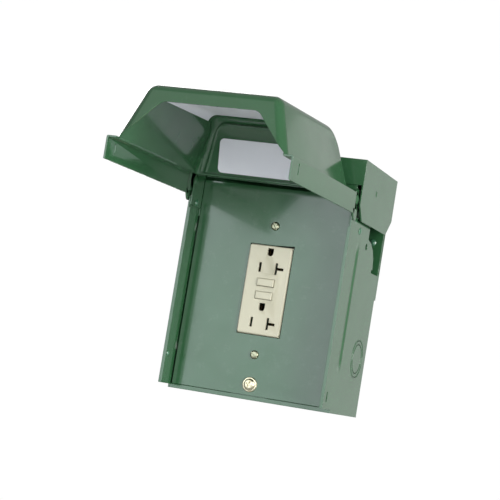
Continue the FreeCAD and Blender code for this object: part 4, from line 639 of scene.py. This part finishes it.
@dataclass
class SheetParts:
    """The bent steel parts: copies of their solids with every bend and cut edge rounded."""

    paint_round: float = 0.3
    bend_round: float = 0.55
    sheet: float = 1.2
    bead_half: float = 4.9
    bead_depth: float = 0.95
    bead_end: float = 9.0
    bead_place: Pair = (-69.5, -3.8)
    bead_length: float = 97.0
    bead_cells: tuple[int, int] = (24, 96)
    bead_tool_reach: Pair = (4.0, 1.0)
    wall_outside: float = 64.0
    knockout_place: Pair = (-26.0, -38.5)
    knockout_radii: Pair = (14.9, 11.7)
    knockout_swell: float = 0.5
    knockout_sink: float = 0.3
    cutout_low: Pair = (-16.95, -34.0)
    cutout_high: Pair = (17.35, 33.9)
    cutout_through: Pair = (-76.0, -73.0)
    top_gap_from: float = 3.0
    top_gap: float = 0.9
    top_gap_past: float = 0.3
    dimple_place: Pair = (-54.5, 83.7)
    dimple_radius: float = 2.15
    dimple_floor: float = 66.6
    dimple_paint: float = 0.9
    dimple_inset: float = 0.9
    dimple_core: float = 1.3
    dimple_dish: float = 0.35
    softly: dict[str, str] = field(default_factory=lambda: {
        "bottom_plate": "folded_bottom", "header_rail": "folded_rail", "mounting_plate": "wall_plate",
        "dead_front_bracket": "panel_foot_angle", "hinge_bracket_left": "hinge_doubler_left",
        "hinge_bracket_right": "hinge_doubler_right"})

    def build(self) -> None:
        """Makes all the sheet parts."""
        for node, name in self.softly.items():
            self.soften(node, name, self.paint_round)
        self.soften("hood", "folded_hood", self.bend_round)
        self.soften("dead_front_panel", "recessed_panel", self.bend_round, self.cutout_tools())
        self.soften("box_body", "folded_box", self.paint_round, [self.bead_tool(1), self.bead_tool(-1)])
        for side, hand in ((1, "right"), (-1, "left")):
            self.add_bead(side, hand)
            self.add_knockout_swell(side, hand)
            self.fill_dimple(side, hand)

    def fill_dimple(self, side: int, hand: str) -> None:
        """Shallows a hood dimple with the paint that pooled in it.

        Args:
            side: 1 for the right side and -1 for the left.
            hand: The side's name.
        """
        y, z = self.dimple_place
        pool = Workpiece.disc(f"dimple_paint_{hand}", (side * self.dimple_floor, y, z), self.dimple_radius,
                              self.dimple_paint, "X", 32)
        pool.edit("FACE", lambda f: abs(f.normal.x) > 0.9,
                  lambda: bpy.ops.mesh.inset(thickness=self.dimple_inset, depth=0))
        outer = side * (self.dimple_floor + self.dimple_paint / 2)
        pool.move(lambda v: abs(v.co.x - outer) < NEAR
                  and math.hypot(v.co.y - y, v.co.z - z) < self.dimple_core, (-side * self.dimple_dish, 0, 0))
        pool.finish(smooth_degrees=50.0)

    def bead_tool(self, side: int) -> Workpiece:
        """Shapes the block that makes room in a side wall for its pressed bead.

        Args:
            side: 1 for the right wall and -1 for the left.

        Returns:
            The block.
        """
        y, z = self.bead_place
        inward, outward = self.bead_tool_reach
        near, far = sorted((side * (self.wall_outside - inward), side * (self.wall_outside + outward)))
        return Workpiece.block("bead_tool", (near, y - self.bead_half, z - self.bead_length / 2),
                               (far, y + self.bead_half, z + self.bead_length / 2))

    def cutout_tools(self) -> list[Workpiece]:
        """Shapes the blocks that open the panel's cutout a little round the receptacle's face.

        Returns:
            One block all round, and one for the uneven gap at the face's top right.
        """
        (x0, z0), (x1, z1), (front, rear) = self.cutout_low, self.cutout_high, self.cutout_through
        around = Workpiece.block("cutout_tool", (x0, front, z0), (x1, rear, z1))
        gap = Workpiece.block("gap_tool", (self.top_gap_from, front, z1 - 1),
                              (x1 + self.top_gap_past, rear, z1 + self.top_gap))
        gap.move(lambda v: v.co.x < self.top_gap_from + 1 and v.co.z > z1, (0, 0, NEAR - self.top_gap))
        return [around, gap]

    def soften(self, node: str, name: str, width: float, tools: list[Workpiece] | None = None) -> None:
        """Rounds the edges of a copy of a node.

        Args:
            node: The CAD node.
            name: The new piece's name.
            width: How far a rounding reaches from its edge.
            tools: Blocks to cut out first.
        """
        piece = Workpiece.of_node(name, node)
        for tool in tools or []:
            piece.cut(tool)
        piece.round_edges(width, 2, miter_outer="MITER_SHARP")
        piece.finish(node)
        piece.modify("WEIGHTED_NORMAL", weight=100, keep_sharp=True)

    def add_bead(self, side: int, hand: str) -> None:
        """Presses the smooth stiffening bead into a side wall.

        Args:
            side: 1 for the right wall and -1 for the left.
            hand: The side's name.
        """
        middle_y, middle_z = self.bead_place
        deselect()
        across_cells, along_cells = self.bead_cells
        bpy.ops.mesh.primitive_grid_add(x_subdivisions=across_cells, y_subdivisions=along_cells, size=2.0)
        piece = Workpiece(f"pressed_bead_{hand}", bpy.context.object)
        for vert in piece.obj.data.vertices:
            across, along = vert.co.x * self.bead_half, vert.co.y * self.bead_length / 2
            share = min(1.0, abs(across) / self.bead_half)
            to_end = min(1.0, (self.bead_length / 2 - abs(along)) / self.bead_end)
            depth = self.bead_depth * (0.5 + 0.5 * math.cos(math.pi * share))
            depth *= 0.5 - 0.5 * math.cos(to_end * math.pi)
            vert.co = (side * (self.wall_outside - depth), middle_y + across, middle_z + along)
        if side < 0:
            piece.turn_over()
        piece.modify("SOLIDIFY", thickness=self.sheet, offset=-1.0)
        piece.finish(smooth_degrees=60.0)

    def add_knockout_swell(self, side: int, hand: str) -> None:
        """Raises the soft ridges that the punch left round the knockout's two rings.

        Args:
            side: 1 for the right wall and -1 for the left.
            hand: The side's name.
        """
        y, z = self.knockout_place
        rings = []
        for radius in self.knockout_radii:
            deselect()
            bpy.ops.mesh.primitive_torus_add(major_segments=72, minor_segments=14, major_radius=radius,
                                             minor_radius=self.knockout_swell, rotation=(0, math.pi / 2, 0),
                                             location=(side * (self.wall_outside - self.knockout_sink), y, z))
            rings.append(Workpiece(f"knockout_swell_{hand}", bpy.context.object).settle())
        rings[0].join(*rings[1:]).finish(smooth_degrees=60.0)


@dataclass
class DrawnLid:
    """The deep drawn lid: one sheet with a rounded dome, a ledge, side skirts and hinge ears.

    Its sizes are those of the lid held level, before lower() lets it hang by its droop in degrees.
    """

    sheet: float = 1.2
    skirt_outside: float = 65.6
    ledge_width: float = 5.7
    ledge: float = 78.2
    ledge_bend: float = 2.0
    inner_bend: float = 0.3
    rim: float = 62.2
    rim_round: float = 0.45
    free_end: float = -249.5
    skirt_rear: float = -98.5
    dome_rear: float = -100.1
    back_run: float = 8.4
    front_run: float = 11.0
    height_back: float = 42.6
    height_front: float = 39.2
    taper: float = 14.1
    roof_rear_round: float = 15.2
    roof_front_round: float = 5.2
    side_round: float = 5.8
    arch_levels: tuple[Pair, ...] = ((1.4, 57.5), (5.4, 53.5), (27.5, 34.0))
    arch_round: float = 3.0
    slot_place: Pair = (-235.6, 71.3)
    slot_size: Pair = (2.2, 7.5)
    pivot: Pair = (-91.5, 73.0)
    ear_inside: float = 63.1
    ear_radius: float = 7.5
    ear_hole: float = 2.06
    joggle_low: float = 64.4
    joggle_round: float = 0.5
    tail_drop: float = 4.6
    tail_run: float = 4.0
    tail_round: float = 2.0
    strip_gap: float = 0.6
    strip_round: float = 0.4
    droop: float = 1.0
    skin: float = 1.02
    label_half: float = 42.0
    label_height: float = 25.3
    label_rise: float = 1.9
    label_corner: float = 3.4
    label_proud: float = 0.5
    label_film: float = 0.18
    rear_round_centre: Pair = (-123.2, 102.4)
    rear_round_inside: float = 16.75
    rear_round_from: float = 105.6
    frame_side: Point = (51.3, 80.6, 0.2)
    frame_top: float = 114.6
    frame_corner: float = 7.0
    frame_span: Pair = (78.9, 117.6)
    frame_margin: float = 0.9
    frame_sink: float = 0.3
    frame_cells: tuple[int, int] = (220, 90)
    ridge: float = 1.0
    ridge_half: float = 1.25
    ridge_apart: float = 3.7
    dish: float = 1.3
    dish_low: float = 100.0
    relief_base: float = 0.12
    roof_label_half: float = 47.5
    roof_label_flap: float = 5.2
    roof_label_depth: Pair = (-226.0, -125.0)
    roof_label_gap: float = 0.08
    roof_label_round: float = 5.1
    roof_label_film: float = 0.15

    @property
    def dome_side(self) -> float:
        """Half the dome's width at the ledge."""
        return self.skirt_outside - self.ledge_width

    @property
    def side_lean(self) -> float:
        """How far a side of the dome leans in per millimetre of height."""
        return self.taper / self.height_back

    @property
    def back_slope(self) -> float:
        """How far the hinge end leans forward per millimetre of height."""
        return self.back_run / self.height_back

    @property
    def skirt_inside(self) -> float:
        """The inside of a skirt."""
        return self.skirt_outside - self.sheet

    @property
    def below_ledge(self) -> float:
        """The ledge's lower face."""
        return self.ledge - self.sheet

    def inner_half(self, z: float) -> float:
        """Half the dome's width inside, at a height."""
        return self.dome_side - self.sheet - self.side_lean * (z - self.ledge)

    def lower(self, piece: Workpiece) -> Workpiece:
        """Lets a piece of the level lid hang down as the open lid does."""
        return piece.turn_about((0, *self.pivot), self.droop)

    def build(self) -> None:
        """Makes the lid, its press lines and its bare labels."""
        lid = self.make_dome()
        right = [self.make_skirt(), self.make_tail(), *self.make_hinge_arm()]
        left = [part.mirrored() for part in right]
        lid.join(*right, *left, self.make_strip())
        lid.name = "drawn_lid"
        self.lower(lid).finish("lid_shell", body=Body.LID, smooth_degrees=28.0)
        self.add_pressed_frame()
        self.add_label()
        self.add_roof_label()

    def make_dome(self) -> Workpiece:
        """Draws the dome from a block: leaning ends, tapered sides, rounded edges, then hollow and open.

        Returns:
            The dome with its arch.
        """
        side, top = self.dome_side, self.ledge + self.height_back
        front, mid = self.free_end + self.sheet, (self.free_end + self.dome_rear) / 2
        dome = Workpiece.block("dome", (-side, front, self.ledge), (side, self.dome_rear, top))
        high = self.ledge + 1
        dome.narrow(lambda v: v.co.z > high and v.co.y < mid,
                    (side - self.side_lean * self.height_front) / side)
        dome.narrow(lambda v: v.co.z > high and v.co.y > mid, (side - self.taper) / side)
        dome.move(lambda v: v.co.z > high and v.co.y > mid, (0, -self.back_run, 0))
        dome.move(lambda v: v.co.z > high and v.co.y < mid,
                  (0, self.front_run, self.height_front - self.height_back))
        dome.bevel(edges_along(X, lambda p: p.z > high and p.y > mid), self.roof_rear_round, 12)
        dome.bevel(edges_along(X, lambda p: p.z > high and p.y < mid), self.roof_front_round, 8)
        dome.bevel(lambda e: all(self.on_side(vert.co) for vert in e.verts) and self.on_side(middle(e))
                   and middle(e).z > self.ledge + NEAR, self.side_round, 8)
        dome.open_up(lambda f: f.normal.z < -0.9)
        dome.modify("SOLIDIFY", thickness=self.sheet, offset=-1.0, use_even_offset=True)
        return dome.cut(self.arch_tool())

    def on_side(self, place: Vector) -> bool:
        """Tells whether a place lies on one of the dome's leaning sides."""
        return abs(abs(place.x) - (self.dome_side - self.side_lean * (place.z - self.ledge))) < NEAR / 2

    def arch_tool(self) -> Workpiece:
        """Shapes the block that opens the free end for cords.

        Returns:
            The block, narrower at each level.
        """
        widest = self.arch_levels[0][1]
        top = self.ledge + self.arch_levels[-1][0]
        deep = self.free_end + self.front_run + 3 * self.sheet
        tool = Workpiece.block("arch_tool", (-widest, self.free_end - PAST, self.ledge - PAST),
                               (widest, deep, top))
        for rise, _ in self.arch_levels[:-1]:
            tool.slice_level(self.ledge + rise)
        for (_, wider), (rise, half) in zip(self.arch_levels, self.arch_levels[1:]):
            tool.narrow(lambda v, low=self.ledge + rise - NEAR: v.co.z > low, half / wider)
        return tool.bevel(edges_along(Y, lambda p: p.z > top - NEAR), self.arch_round, 6)

    def make_skirt(self) -> Workpiece:
        """Bends the right side's ledge and skirt from one strip, and slots it.

        Returns:
            The skirt.
        """
        inside, outside, below = self.skirt_inside, self.skirt_outside, self.below_ledge
        skirt = Workpiece.block("skirt", (inside, self.free_end, self.rim), (outside, self.skirt_rear, below))
        skirt.pull(lambda f: f.normal.z > 0.9, (0, 0, self.sheet))
        skirt.pull(lambda f: f.normal.x < -0.9 and f.calc_center_median().z > below,
                   (self.dome_side - self.sheet - inside, 0, 0))
        skirt.bevel(edges_along(Y, lambda p: p.x > outside - NEAR and p.z > self.ledge - NEAR),
                    self.ledge_bend, 6)
        skirt.bevel(edges_along(Y, lambda p: abs(p.x - inside) < NEAR and abs(p.z - below) < NEAR),
                    self.inner_bend, 3)
        skirt.bevel(edges_along(Y, lambda p: p.z < self.rim + NEAR), self.rim_round, 3)
        return skirt.cut(self.slot_tool())

    def make_tail(self) -> Workpiece:
        """Bends the tail that hangs below the skirt at the hinge.

        Returns:
            The tail.
        """
        low = self.rim - self.tail_drop
        tail = Workpiece.block("tail", (self.skirt_inside, self.skirt_rear - self.tail_run, low),
                               (self.skirt_outside, self.pivot[0], self.joggle_low + self.sheet))
        tail.move(lambda v: v.co.z < low + NEAR and v.co.y < self.skirt_rear,
                  (0, self.tail_run + self.sheet, 0))
        return tail.bevel(edges_along(X, lambda p: p.z < low + NEAR), self.tail_round, 5)

    def make_hinge_arm(self) -> list[Workpiece]:
        """Bends the joggle, the arm and the round ear that turns on the hinge rivet.

        Returns:
            The joggle, the arm and the ear.
        """
        arm_front = self.skirt_rear - self.sheet
        joggle = Workpiece.block("joggle", (self.ear_inside, arm_front, self.joggle_low),
                                 (self.skirt_outside, self.skirt_rear, self.ledge))
        joggle.bevel(edges_along(Z), self.joggle_round, 3)
        pivot_y, pivot_z = self.pivot
        arm = Workpiece.block("arm", (self.ear_inside, arm_front, pivot_z - self.ear_radius),
                              (self.ear_inside + self.sheet, pivot_y, self.ledge))
        centre = (self.ear_inside + self.sheet / 2, pivot_y, pivot_z)
        ear = Workpiece.disc("ear", centre, self.ear_radius, self.sheet, "X")
        for part in (arm, ear):
            part.cut(Workpiece.disc("ear_bore", centre, self.ear_hole, 4 * self.sheet, "X"))
        return [joggle, arm, ear]

    def make_strip(self) -> Workpiece:
        """Bends the strip that runs across at the hinge end.

        Returns:
            The strip.
        """
        half = self.ear_inside - self.sheet - self.strip_gap
        strip = Workpiece.block("strip", (-half, self.dome_rear - 2 * self.sheet, self.below_ledge),
                                (half, self.pivot[0], self.ledge))
        return strip.bevel(edges_along(X), self.strip_round, 3)

    def slot_tool(self) -> Workpiece:
        """Shapes the round-ended slot of a skirt.

        Returns:
            The block to cut it with.
        """
        (y, z), (wide, tall) = self.slot_place, self.slot_size
        tool = Workpiece.block("slot_tool", (self.skirt_outside - PAST, y - wide / 2, z - tall / 2),
                               (self.skirt_outside + PAST, y + wide / 2, z + tall / 2))
        return tool.bevel(edges_along(X), wide / 2 - 0.02, 6)

    def inside_wall(self, x: float, z: float) -> float:
        """Gives where the inside of the leaning hinge end lies, with its rounded corners.

        Args:
            x: Place across the lid.
            z: Height on the level lid.

        Returns:
            The place along Y.
        """
        wall = self.dome_rear - self.sheet * self.skin - self.back_slope * (z - self.ledge)
        round_inside = self.side_round - self.sheet
        into = min(round_inside, max(0.0, abs(x) - (self.inner_half(z) - round_inside)))
        wall += math.sqrt(round_inside ** 2 - into ** 2) - round_inside
        if z < self.rear_round_from:
            return wall
        centre_y, centre_z = self.rear_round_centre
        up = min(self.rear_round_inside, z - centre_z)
        return min(wall, centre_y + math.sqrt(self.rear_round_inside ** 2 - up ** 2))

    def relief(self, x: float, z: float) -> float:
        """Gives how far the pressed frame stands in from the hinge end's flat wall.

        Args:
            x: Place across the lid.
            z: Height on the level lid.

        Returns:
            The height of the relief: two ridges with a groove between, round a shallow dish.
        """
        side_foot, side_low, side_lean = self.frame_side
        beyond_side = abs(x) - (side_foot - side_lean * (z - side_low)) + self.frame_corner
        beyond_top = z - self.frame_top + self.frame_corner
        away = math.hypot(max(beyond_side, 0), max(beyond_top, 0))
        away += min(max(beyond_side, beyond_top), 0) - self.frame_corner
        fade = min(1.0, max(0.0, (self.frame_top - z) / self.frame_corner))
        height = self.ridge * (self.swell(away) + fade * self.swell(away - self.ridge_apart))
        if away < 0:
            rise = max(0.0, (z - self.dish_low) / (self.frame_top - self.dish_low))
            height += self.dish * rise ** 2
        return height + self.relief_base

    def swell(self, away: float) -> float:
        """Gives a ridge's round profile at a distance from its crown."""
        return 0.5 + 0.5 * math.cos(math.pi * min(1.0, abs(away) / self.ridge_half))

    def add_pressed_frame(self) -> None:
        """Presses the frame into the hinge end round the label, with its ridges and its dish."""
        deselect()
        across, up = self.frame_cells
        bpy.ops.mesh.primitive_grid_add(x_subdivisions=across, y_subdivisions=up, size=2.0)
        piece = Workpiece("pressed_frame", bpy.context.object)
        low, high = self.frame_span
        for vert in piece.obj.data.vertices:
            at_edge = max(abs(vert.co.x), abs(vert.co.y)) > 0.999
            z = low + (vert.co.y + 1) / 2 * (high - low)
            x = vert.co.x * (self.inner_half(z) - self.frame_margin)
            height = -self.frame_sink if at_edge else self.relief(x, z)
            vert.co = (x, self.inside_wall(x, z) - height, z)
        self.lower(piece).finish(body=Body.LID, smooth_degrees=80.0)

    def add_label(self) -> None:
        """Sticks the bare label with rounded corners on the inside of the hinge end."""
        label = Workpiece.block("bare_label", (-self.label_half, -self.label_film, 0),
                                (self.label_half, 0, self.label_height))
        label.bevel(edges_along(Y), self.label_corner, 8)
        label.turn_about((0, 0, 0), math.degrees(math.atan(self.back_slope)))
        wall = self.dome_rear - self.sheet * self.skin - self.back_slope * self.label_rise
        label.move(lambda v: True, (0, wall - self.label_proud, self.ledge + self.label_rise))
        self.lower(label).finish("lid_label", body=Body.LID, finish=Finish.LABEL)

    def add_roof_label(self) -> None:
        """Sticks the second bare label, which the photo shows at a grazing angle, under the roof.

        It is an upside-down tray, so that its sides follow the rounded roof edges down.
        """
        front, rear = self.roof_label_depth
        run = self.dome_rear - self.back_run - (self.free_end + self.front_run)
        slope = (self.height_back - self.height_front) / run
        past = front - (self.free_end + self.sheet + self.front_run)
        top = self.ledge + self.height_front - self.sheet * self.skin + slope * past - self.roof_label_gap
        half, flap = self.roof_label_half, self.roof_label_flap
        label = Workpiece.block("bare_roof_label", (-half, front, top - flap), (half, rear, top))
        label.narrow(lambda v: v.co.z > top - NEAR, 1.0 - self.side_lean * flap / half)
        label.narrow(lambda v: v.co.y > rear - NEAR, 1.0 - self.side_lean * slope * (rear - front) / half)
        label.bevel(edges_along(Y, lambda p: p.z > top - NEAR), self.roof_label_round, 10)
        label.open_up(lambda f: f.normal.z < -0.9 or abs(f.normal.y) > 0.9)
        label.modify("SOLIDIFY", thickness=self.roof_label_film, offset=-1.0)
        label.turn_about((0, front, top), math.degrees(math.atan(slope)))
        self.lower(label).finish(body=Body.LID, finish=Finish.LABEL, smooth_degrees=40.0)


@dataclass
class Fasteners:
    """Rivets with domed heads and screws with slotted heads, as turned from bar.

    A head is given by its radius and height, a shank by its length and radius, and a slot by its
    width, its depth and half its length.
    """

    panel_front: float = -75.0
    plate_screws: tuple[Pair, ...] = ((48.4, 62.0), (-48.4, 35.0))
    plate_head: Pair = (3.3, 1.7)
    plate_shank: Pair = (7.9, 1.7)
    plate_slot: Point = (0.7, 0.75, 4.0)
    large_height: float = -70.6
    large_rim: Pair = (5.7, 0.9)
    large_head: Pair = (4.3, 1.7)
    large_head_seat: float = 0.7
    large_shank: Pair = (13.8, 3.0)
    large_cross: Point = (1.1, 1.0, 2.3)
    large_turns: Pair = (20.0, 110.0)
    crown_share: float = 0.92
    rivets: dict[str, tuple[str, Finish]] = field(default_factory=lambda: {
        # Finish.RIVET is paler than the paint: a painted highlight on the domed heads
        "bracket_rivets": ("domed_bracket_rivets", Finish.RIVET),
        "hem_rivet": ("domed_hem_rivet", Finish.RIVET),
        "spacer_rivets": ("plate_rivets", Finish.RIVET),
        "hinge_rivet_left": ("pivot_rivet_left", Finish.PAINT),
        "hinge_rivet_right": ("pivot_rivet_right", Finish.PAINT)})

    def build(self) -> None:
        """Makes every rivet and every visible screw."""
        self.add_plate_screws()
        self.add_large_screw()
        for node, (name, finish) in self.rivets.items():
            Workpiece.of_node(name, node).finish(node, finish=finish)

    def dome(self, name: str, seat: Point, size: Pair) -> Workpiece:
        """Turns one domed head that faces the front.

        Args:
            name: The piece's name.
            seat: The middle of its flat side.
            size: Its radius and height.

        Returns:
            The head.
        """
        (x, y, z), (radius, height) = seat, size
        head = Workpiece.disc(name, (x, y - height / 2, z), radius, height, "Y", 40)
        head.edit("EDGE", lambda e: abs(middle(e).y - (y - height)) < 0.01, lambda: bpy.ops.mesh.bevel(
            offset=height * self.crown_share, offset_pct=0, segments=7, affect="EDGES", profile=0.5))
        return head

    def shank(self, seat: Point, size: Pair) -> Workpiece:
        """Turns a plain shank that runs back from the panel.

        Args:
            seat: Where it starts.
            size: Its length and radius.

        Returns:
            The shank.
        """
        (x, y, z), (length, radius) = seat, size
        return Workpiece.disc("shank", (x, y + length / 2, z), radius, length, "Y", 24)

    def slot(self, head: Workpiece, crown: Point, size: Point, degrees: float) -> Workpiece:
        """Saws a screwdriver slot into a head that faces the front.

        Args:
            head: The head to cut.
            crown: The middle of its crown.
            size: The slot's width, its depth and half its length.
            degrees: How far it is turned from level.

        Returns:
            The slotted head.
        """
        width, depth, reach = size
        saw = Workpiece.block("saw", (-reach, -1, -width / 2), (reach, depth, width / 2))
        turn = Matrix.Rotation(math.radians(degrees), 4, "Y")
        saw.obj.data.transform(Matrix.Translation(crown) @ turn)
        return head.cut(saw)

    def add_plate_screws(self) -> None:
        """Makes the two small screws that hold the panel to the receptacle."""
        heads = []
        for height, degrees in self.plate_screws:
            seat = (0.0, self.panel_front, height)
            head = self.dome("plate_screw_heads", seat, self.plate_head)
            crown = (0.0, self.panel_front - self.plate_head[1], height)
            heads += [self.slot(head, crown, self.plate_slot, degrees), self.shank(seat, self.plate_shank)]
        heads[0].join(*heads[1:]).finish("plate_screws", finish=Finish.PALE_BRASS)

    def add_large_screw(self) -> None:
        """Makes the large screw at the panel's foot: a broad rim, a domed head and a cross recess."""
        seat = (0.0, self.panel_front, self.large_height)
        rim = self.dome("large_panel_screw", seat, self.large_rim)
        front = self.panel_front - self.large_head_seat
        head = self.dome("head", (0.0, front, self.large_height), self.large_head)
        for degrees in self.large_turns:
            self.slot(head, (0.0, front - self.large_head[1], self.large_height), self.large_cross, degrees)
        rim.join(head, self.shank(seat, self.large_shank))
        rim.finish("dead_front_screw", finish=Finish.BRASS)


@dataclass
class Receptacle:
    """The receptacle's moulded face, its two buttons and their return springs."""

    edge_round: float = 0.45
    face_front: float = -76.5
    face_half: Pair = (16.62, 33.37)
    corner_round: float = 2.6
    corner_depth: float = 2.6
    corner_ahead: float = 1.0
    button_half: float = 6.5
    button_tall: float = 5.3
    button_root: float = -71.8
    button_inset: float = 0.7
    button_round: float = 0.22
    button_crown: float = 0.22
    flange_lip: float = 0.85
    flange_span: Pair = (-72.7, -71.75)
    upper_place: float = 5.55
    upper_proud: float = 1.0
    lower_place: float = -4.15
    lower_proud: float = 0.45
    button_travel: float = 1.5

    def build(self) -> None:
        """Makes the face, both buttons and their return springs."""
        face = Workpiece.of_node("moulded_face", "receptacle_face")
        face.cut(self.corner_tool())
        face.round_edges(self.edge_round, 3)
        face.finish("receptacle_face", finish=Finish.ALMOND)
        self.add_button("raised_button", self.upper_place, self.upper_proud, Body.TEST_BUTTON)
        self.add_button("flush_button", self.lower_place, self.lower_proud, Body.RESET_BUTTON)
        self.add_spring("test_return_spring", "test_spring")
        self.add_spring("reset_return_spring", "reset_spring")

    def corner_tool(self) -> Workpiece:
        """Shapes the surround that rounds the four corners of the face where it stands out.

        Returns:
            The surround.
        """
        half_x, half_z = self.face_half
        behind = self.face_front + self.corner_depth
        ahead = self.corner_ahead
        core = Workpiece.block("core", (-half_x, self.face_front - 2 * ahead, -half_z),
                               (half_x, behind + ahead, half_z))
        core.bevel(edges_along(Y), self.corner_round, 8)
        tool = Workpiece.block("corner_tool", (-half_x - PAST, self.face_front - ahead, -half_z - PAST),
                               (half_x + PAST, behind, half_z + PAST))
        return tool.cut(core)

    def add_spring(self, name: str, node: str) -> None:
        """Puts in a copy of a button's return spring, with a mesh of its own.

        Args:
            name: The name of the piece.
            node: The CAD node that it copies.
        """
        spring = Workpiece.of_node(name, node).finish(node, finish=Finish.SPRING)
        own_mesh(spring)

    def add_button(self, name: str, height: float, proud: float, body: Body) -> None:
        """Moulds one button with a crowned front and the flange that keeps it in the face.

        Args:
            name: The piece's name.
            height: The height of its middle.
            proud: How far it stands out of the face.
            body: The body that it rides on, which has the same name as the CAD node that it replaces.
        """
        front = self.face_front - proud
        wide, tall = self.button_half, self.button_tall / 2
        button = Workpiece.block(name, (-wide, front, height - tall), (wide, self.button_root, height + tall))
        button.edit("FACE", lambda f: f.normal.y < -0.9,
                    lambda: bpy.ops.mesh.inset(thickness=self.button_inset, depth=0.0))
        button.move(lambda v: v.co.y < front + 0.01 and abs(v.co.x) < wide - 0.3
                    and abs(v.co.z - height) < tall - 0.3, (0, -self.button_crown, 0))
        button.bevel(lambda e: middle(e).y < front + 0.3, self.button_round, 3)
        wide, tall = wide + self.flange_lip, tall + self.flange_lip
        fore, rear = self.flange_span
        flange = Workpiece.block("flange", (-wide, fore, height - tall), (wide, rear, height + tall))
        button.join(flange).finish(body.value, body=body, finish=Finish.ALMOND)


# Stage


@dataclass(frozen=True)
class Lamp:
    """One soft area lamp: its place and its width and height in metres, its watts and its tint."""

    name: str
    place: Point
    size: Pair
    watts: float
    tint: Point = (1.0, 1.0, 1.0)

    def hang(self, aim: Point) -> None:
        """Adds the lamp to the scene.

        Args:
            aim: The point that it faces.
        """
        data = bpy.data.lights.new(self.name, "AREA")
        data.shape = "RECTANGLE"
        data.size, data.size_y = self.size
        data.energy = self.watts
        data.color = self.tint
        lamp = bpy.data.objects.new(self.name, data)
        bpy.context.scene.collection.objects.link(lamp)
        lamp.location = self.place
        towards = Vector(aim) - Vector(self.place)
        lamp.rotation_euler = towards.to_track_quat("-Z", "Y").to_euler()


@dataclass
class Studio:
    """Camera at the photograph's place, soft lamps and a pale floor."""

    camera_place_mm: Point = (405.9, -1232.8, -80.8)
    camera_right: Point = (0.9318, 0.3250, 0.1615)
    camera_up: Point = (-0.1224, -0.1373, 0.9829)
    focal_px: float = 1657.0
    picture_px: float = 500.0
    sensor_mm: float = 36.0
    floor_drop_mm: float = 230.0
    floor_radius_mm: float = 900.0
    flecks_per_m: float = 60.0
    lamps: tuple[Lamp, ...] = (
        Lamp("key_right", (1.6, -1.2, 1.0), (1.2, 1.2), 17.5),
        Lamp("right_low", (1.9, -0.9, 0.1), (1.2, 1.2), 43.0),
        Lamp("front_left", (-0.75, -2.0, 0.25), (1.4, 0.9), 12.0, (0.88, 0.95, 1.0)),
        Lamp("front_left_high", (-0.9, -1.7, 1.4), (1.2, 1.0), 2.2),
        Lamp("front_right", (0.6, -2.0, -0.1), (1.2, 0.8), 10.5, (0.94, 0.97, 1.0)),
        Lamp("back_right", (0.9, 1.7, 0.3), (1.4, 1.2), 1.5),
        Lamp("back_left", (-1.3, 1.6, 0.5), (1.3, 1.2), 30.0))
    lamp_aim: Point = (0.0, -0.1, 0.0)
    surround_base: float = 0.008
    surround: dict[str, float] = field(default_factory=lambda: {
        "Is Camera Ray": 1.0, "Is Glossy Ray": 0.37, "Is Transmission Ray": 1.0})

    def place_camera(self) -> None:
        """Adds the camera."""
        data = bpy.data.cameras.new("photo_camera")
        data.sensor_width = self.sensor_mm
        data.lens = self.sensor_mm * self.focal_px / self.picture_px
        data.clip_end = 50.0
        camera = bpy.data.objects.new("photo_camera", data)
        bpy.context.scene.collection.objects.link(camera)
        right = Vector(self.camera_right).normalized()
        up = Vector(self.camera_up)
        up = (up - right * up.dot(right)).normalized()
        turn = Matrix((right, up, right.cross(up))).transposed()
        camera.matrix_world = Matrix.Translation(Vector(self.camera_place_mm) * MM) @ turn.to_4x4()
        bpy.context.scene.camera = camera

    def light(self) -> None:
        """Hangs the lamps and sets the world: white to the eye and dimmer in reflections."""
        for lamp in self.lamps:
            lamp.hang(self.lamp_aim)
        world = bpy.data.worlds.new("pale_surround")
        bpy.context.scene.world = world
        weave = Weave.start(world)
        paths = weave.add("ShaderNodeLightPath")
        strength = self.surround_base
        for ray, share in self.surround.items():
            weigh = weave.add("ShaderNodeMath", {"operation": "MULTIPLY_ADD"}, input_0=paths.outputs[ray],
                              input_1=share, input_2=strength)
            strength = weigh.outputs[0]
        pale = weave.add("ShaderNodeBackground", Color=(1, 1, 1, 1), Strength=strength)
        weave.add("ShaderNodeOutputWorld", Surface=pale.outputs["Background"])

    def lay_floor(self) -> None:
        """Adds the plain pale floor below the object."""
        low = CAD_BOX[0].z - self.floor_drop_mm * MM
        bpy.ops.mesh.primitive_circle_add(vertices=96, radius=self.floor_radius_mm * MM, fill_type="NGON",
                                          location=(0, 0, low))
        floor = bpy.context.object
        floor.name = "studio_floor"
        weave = Weave.start(bpy.data.materials.new("pale_paper_floor"))
        place = weave.add("ShaderNodeTexCoord").outputs["Object"]
        fleck = weave.add("ShaderNodeTexNoise", Vector=place, Scale=self.flecks_per_m, Detail=2.0)
        colour = weave.add("ShaderNodeMix", {"data_type": "RGBA"}, input_0=fleck.outputs["Fac"],
                           input_6=linear("f2f2f2"), input_7=linear("fafafa"))
        floor.data.materials.append(weave.close(Base_Color=colour.outputs[2], Roughness=0.8))

    def build(self) -> None:
        """Sets up the whole stage."""
        bpy.context.scene.view_settings.view_transform = "Standard"
        self.place_camera()
        self.light()
        self.lay_floor()


def main() -> None:
    """Builds the stage and every sub-assembly in order."""
    logging.basicConfig(level=logging.INFO, format="%(message)s")
    deselect()
    Studio().build()
    CarriedNodes().dress()
    SheetParts().build()
    DrawnLid().build()
    Fasteners().build()
    Receptacle().build()


if __name__ == "__main__":
    main()
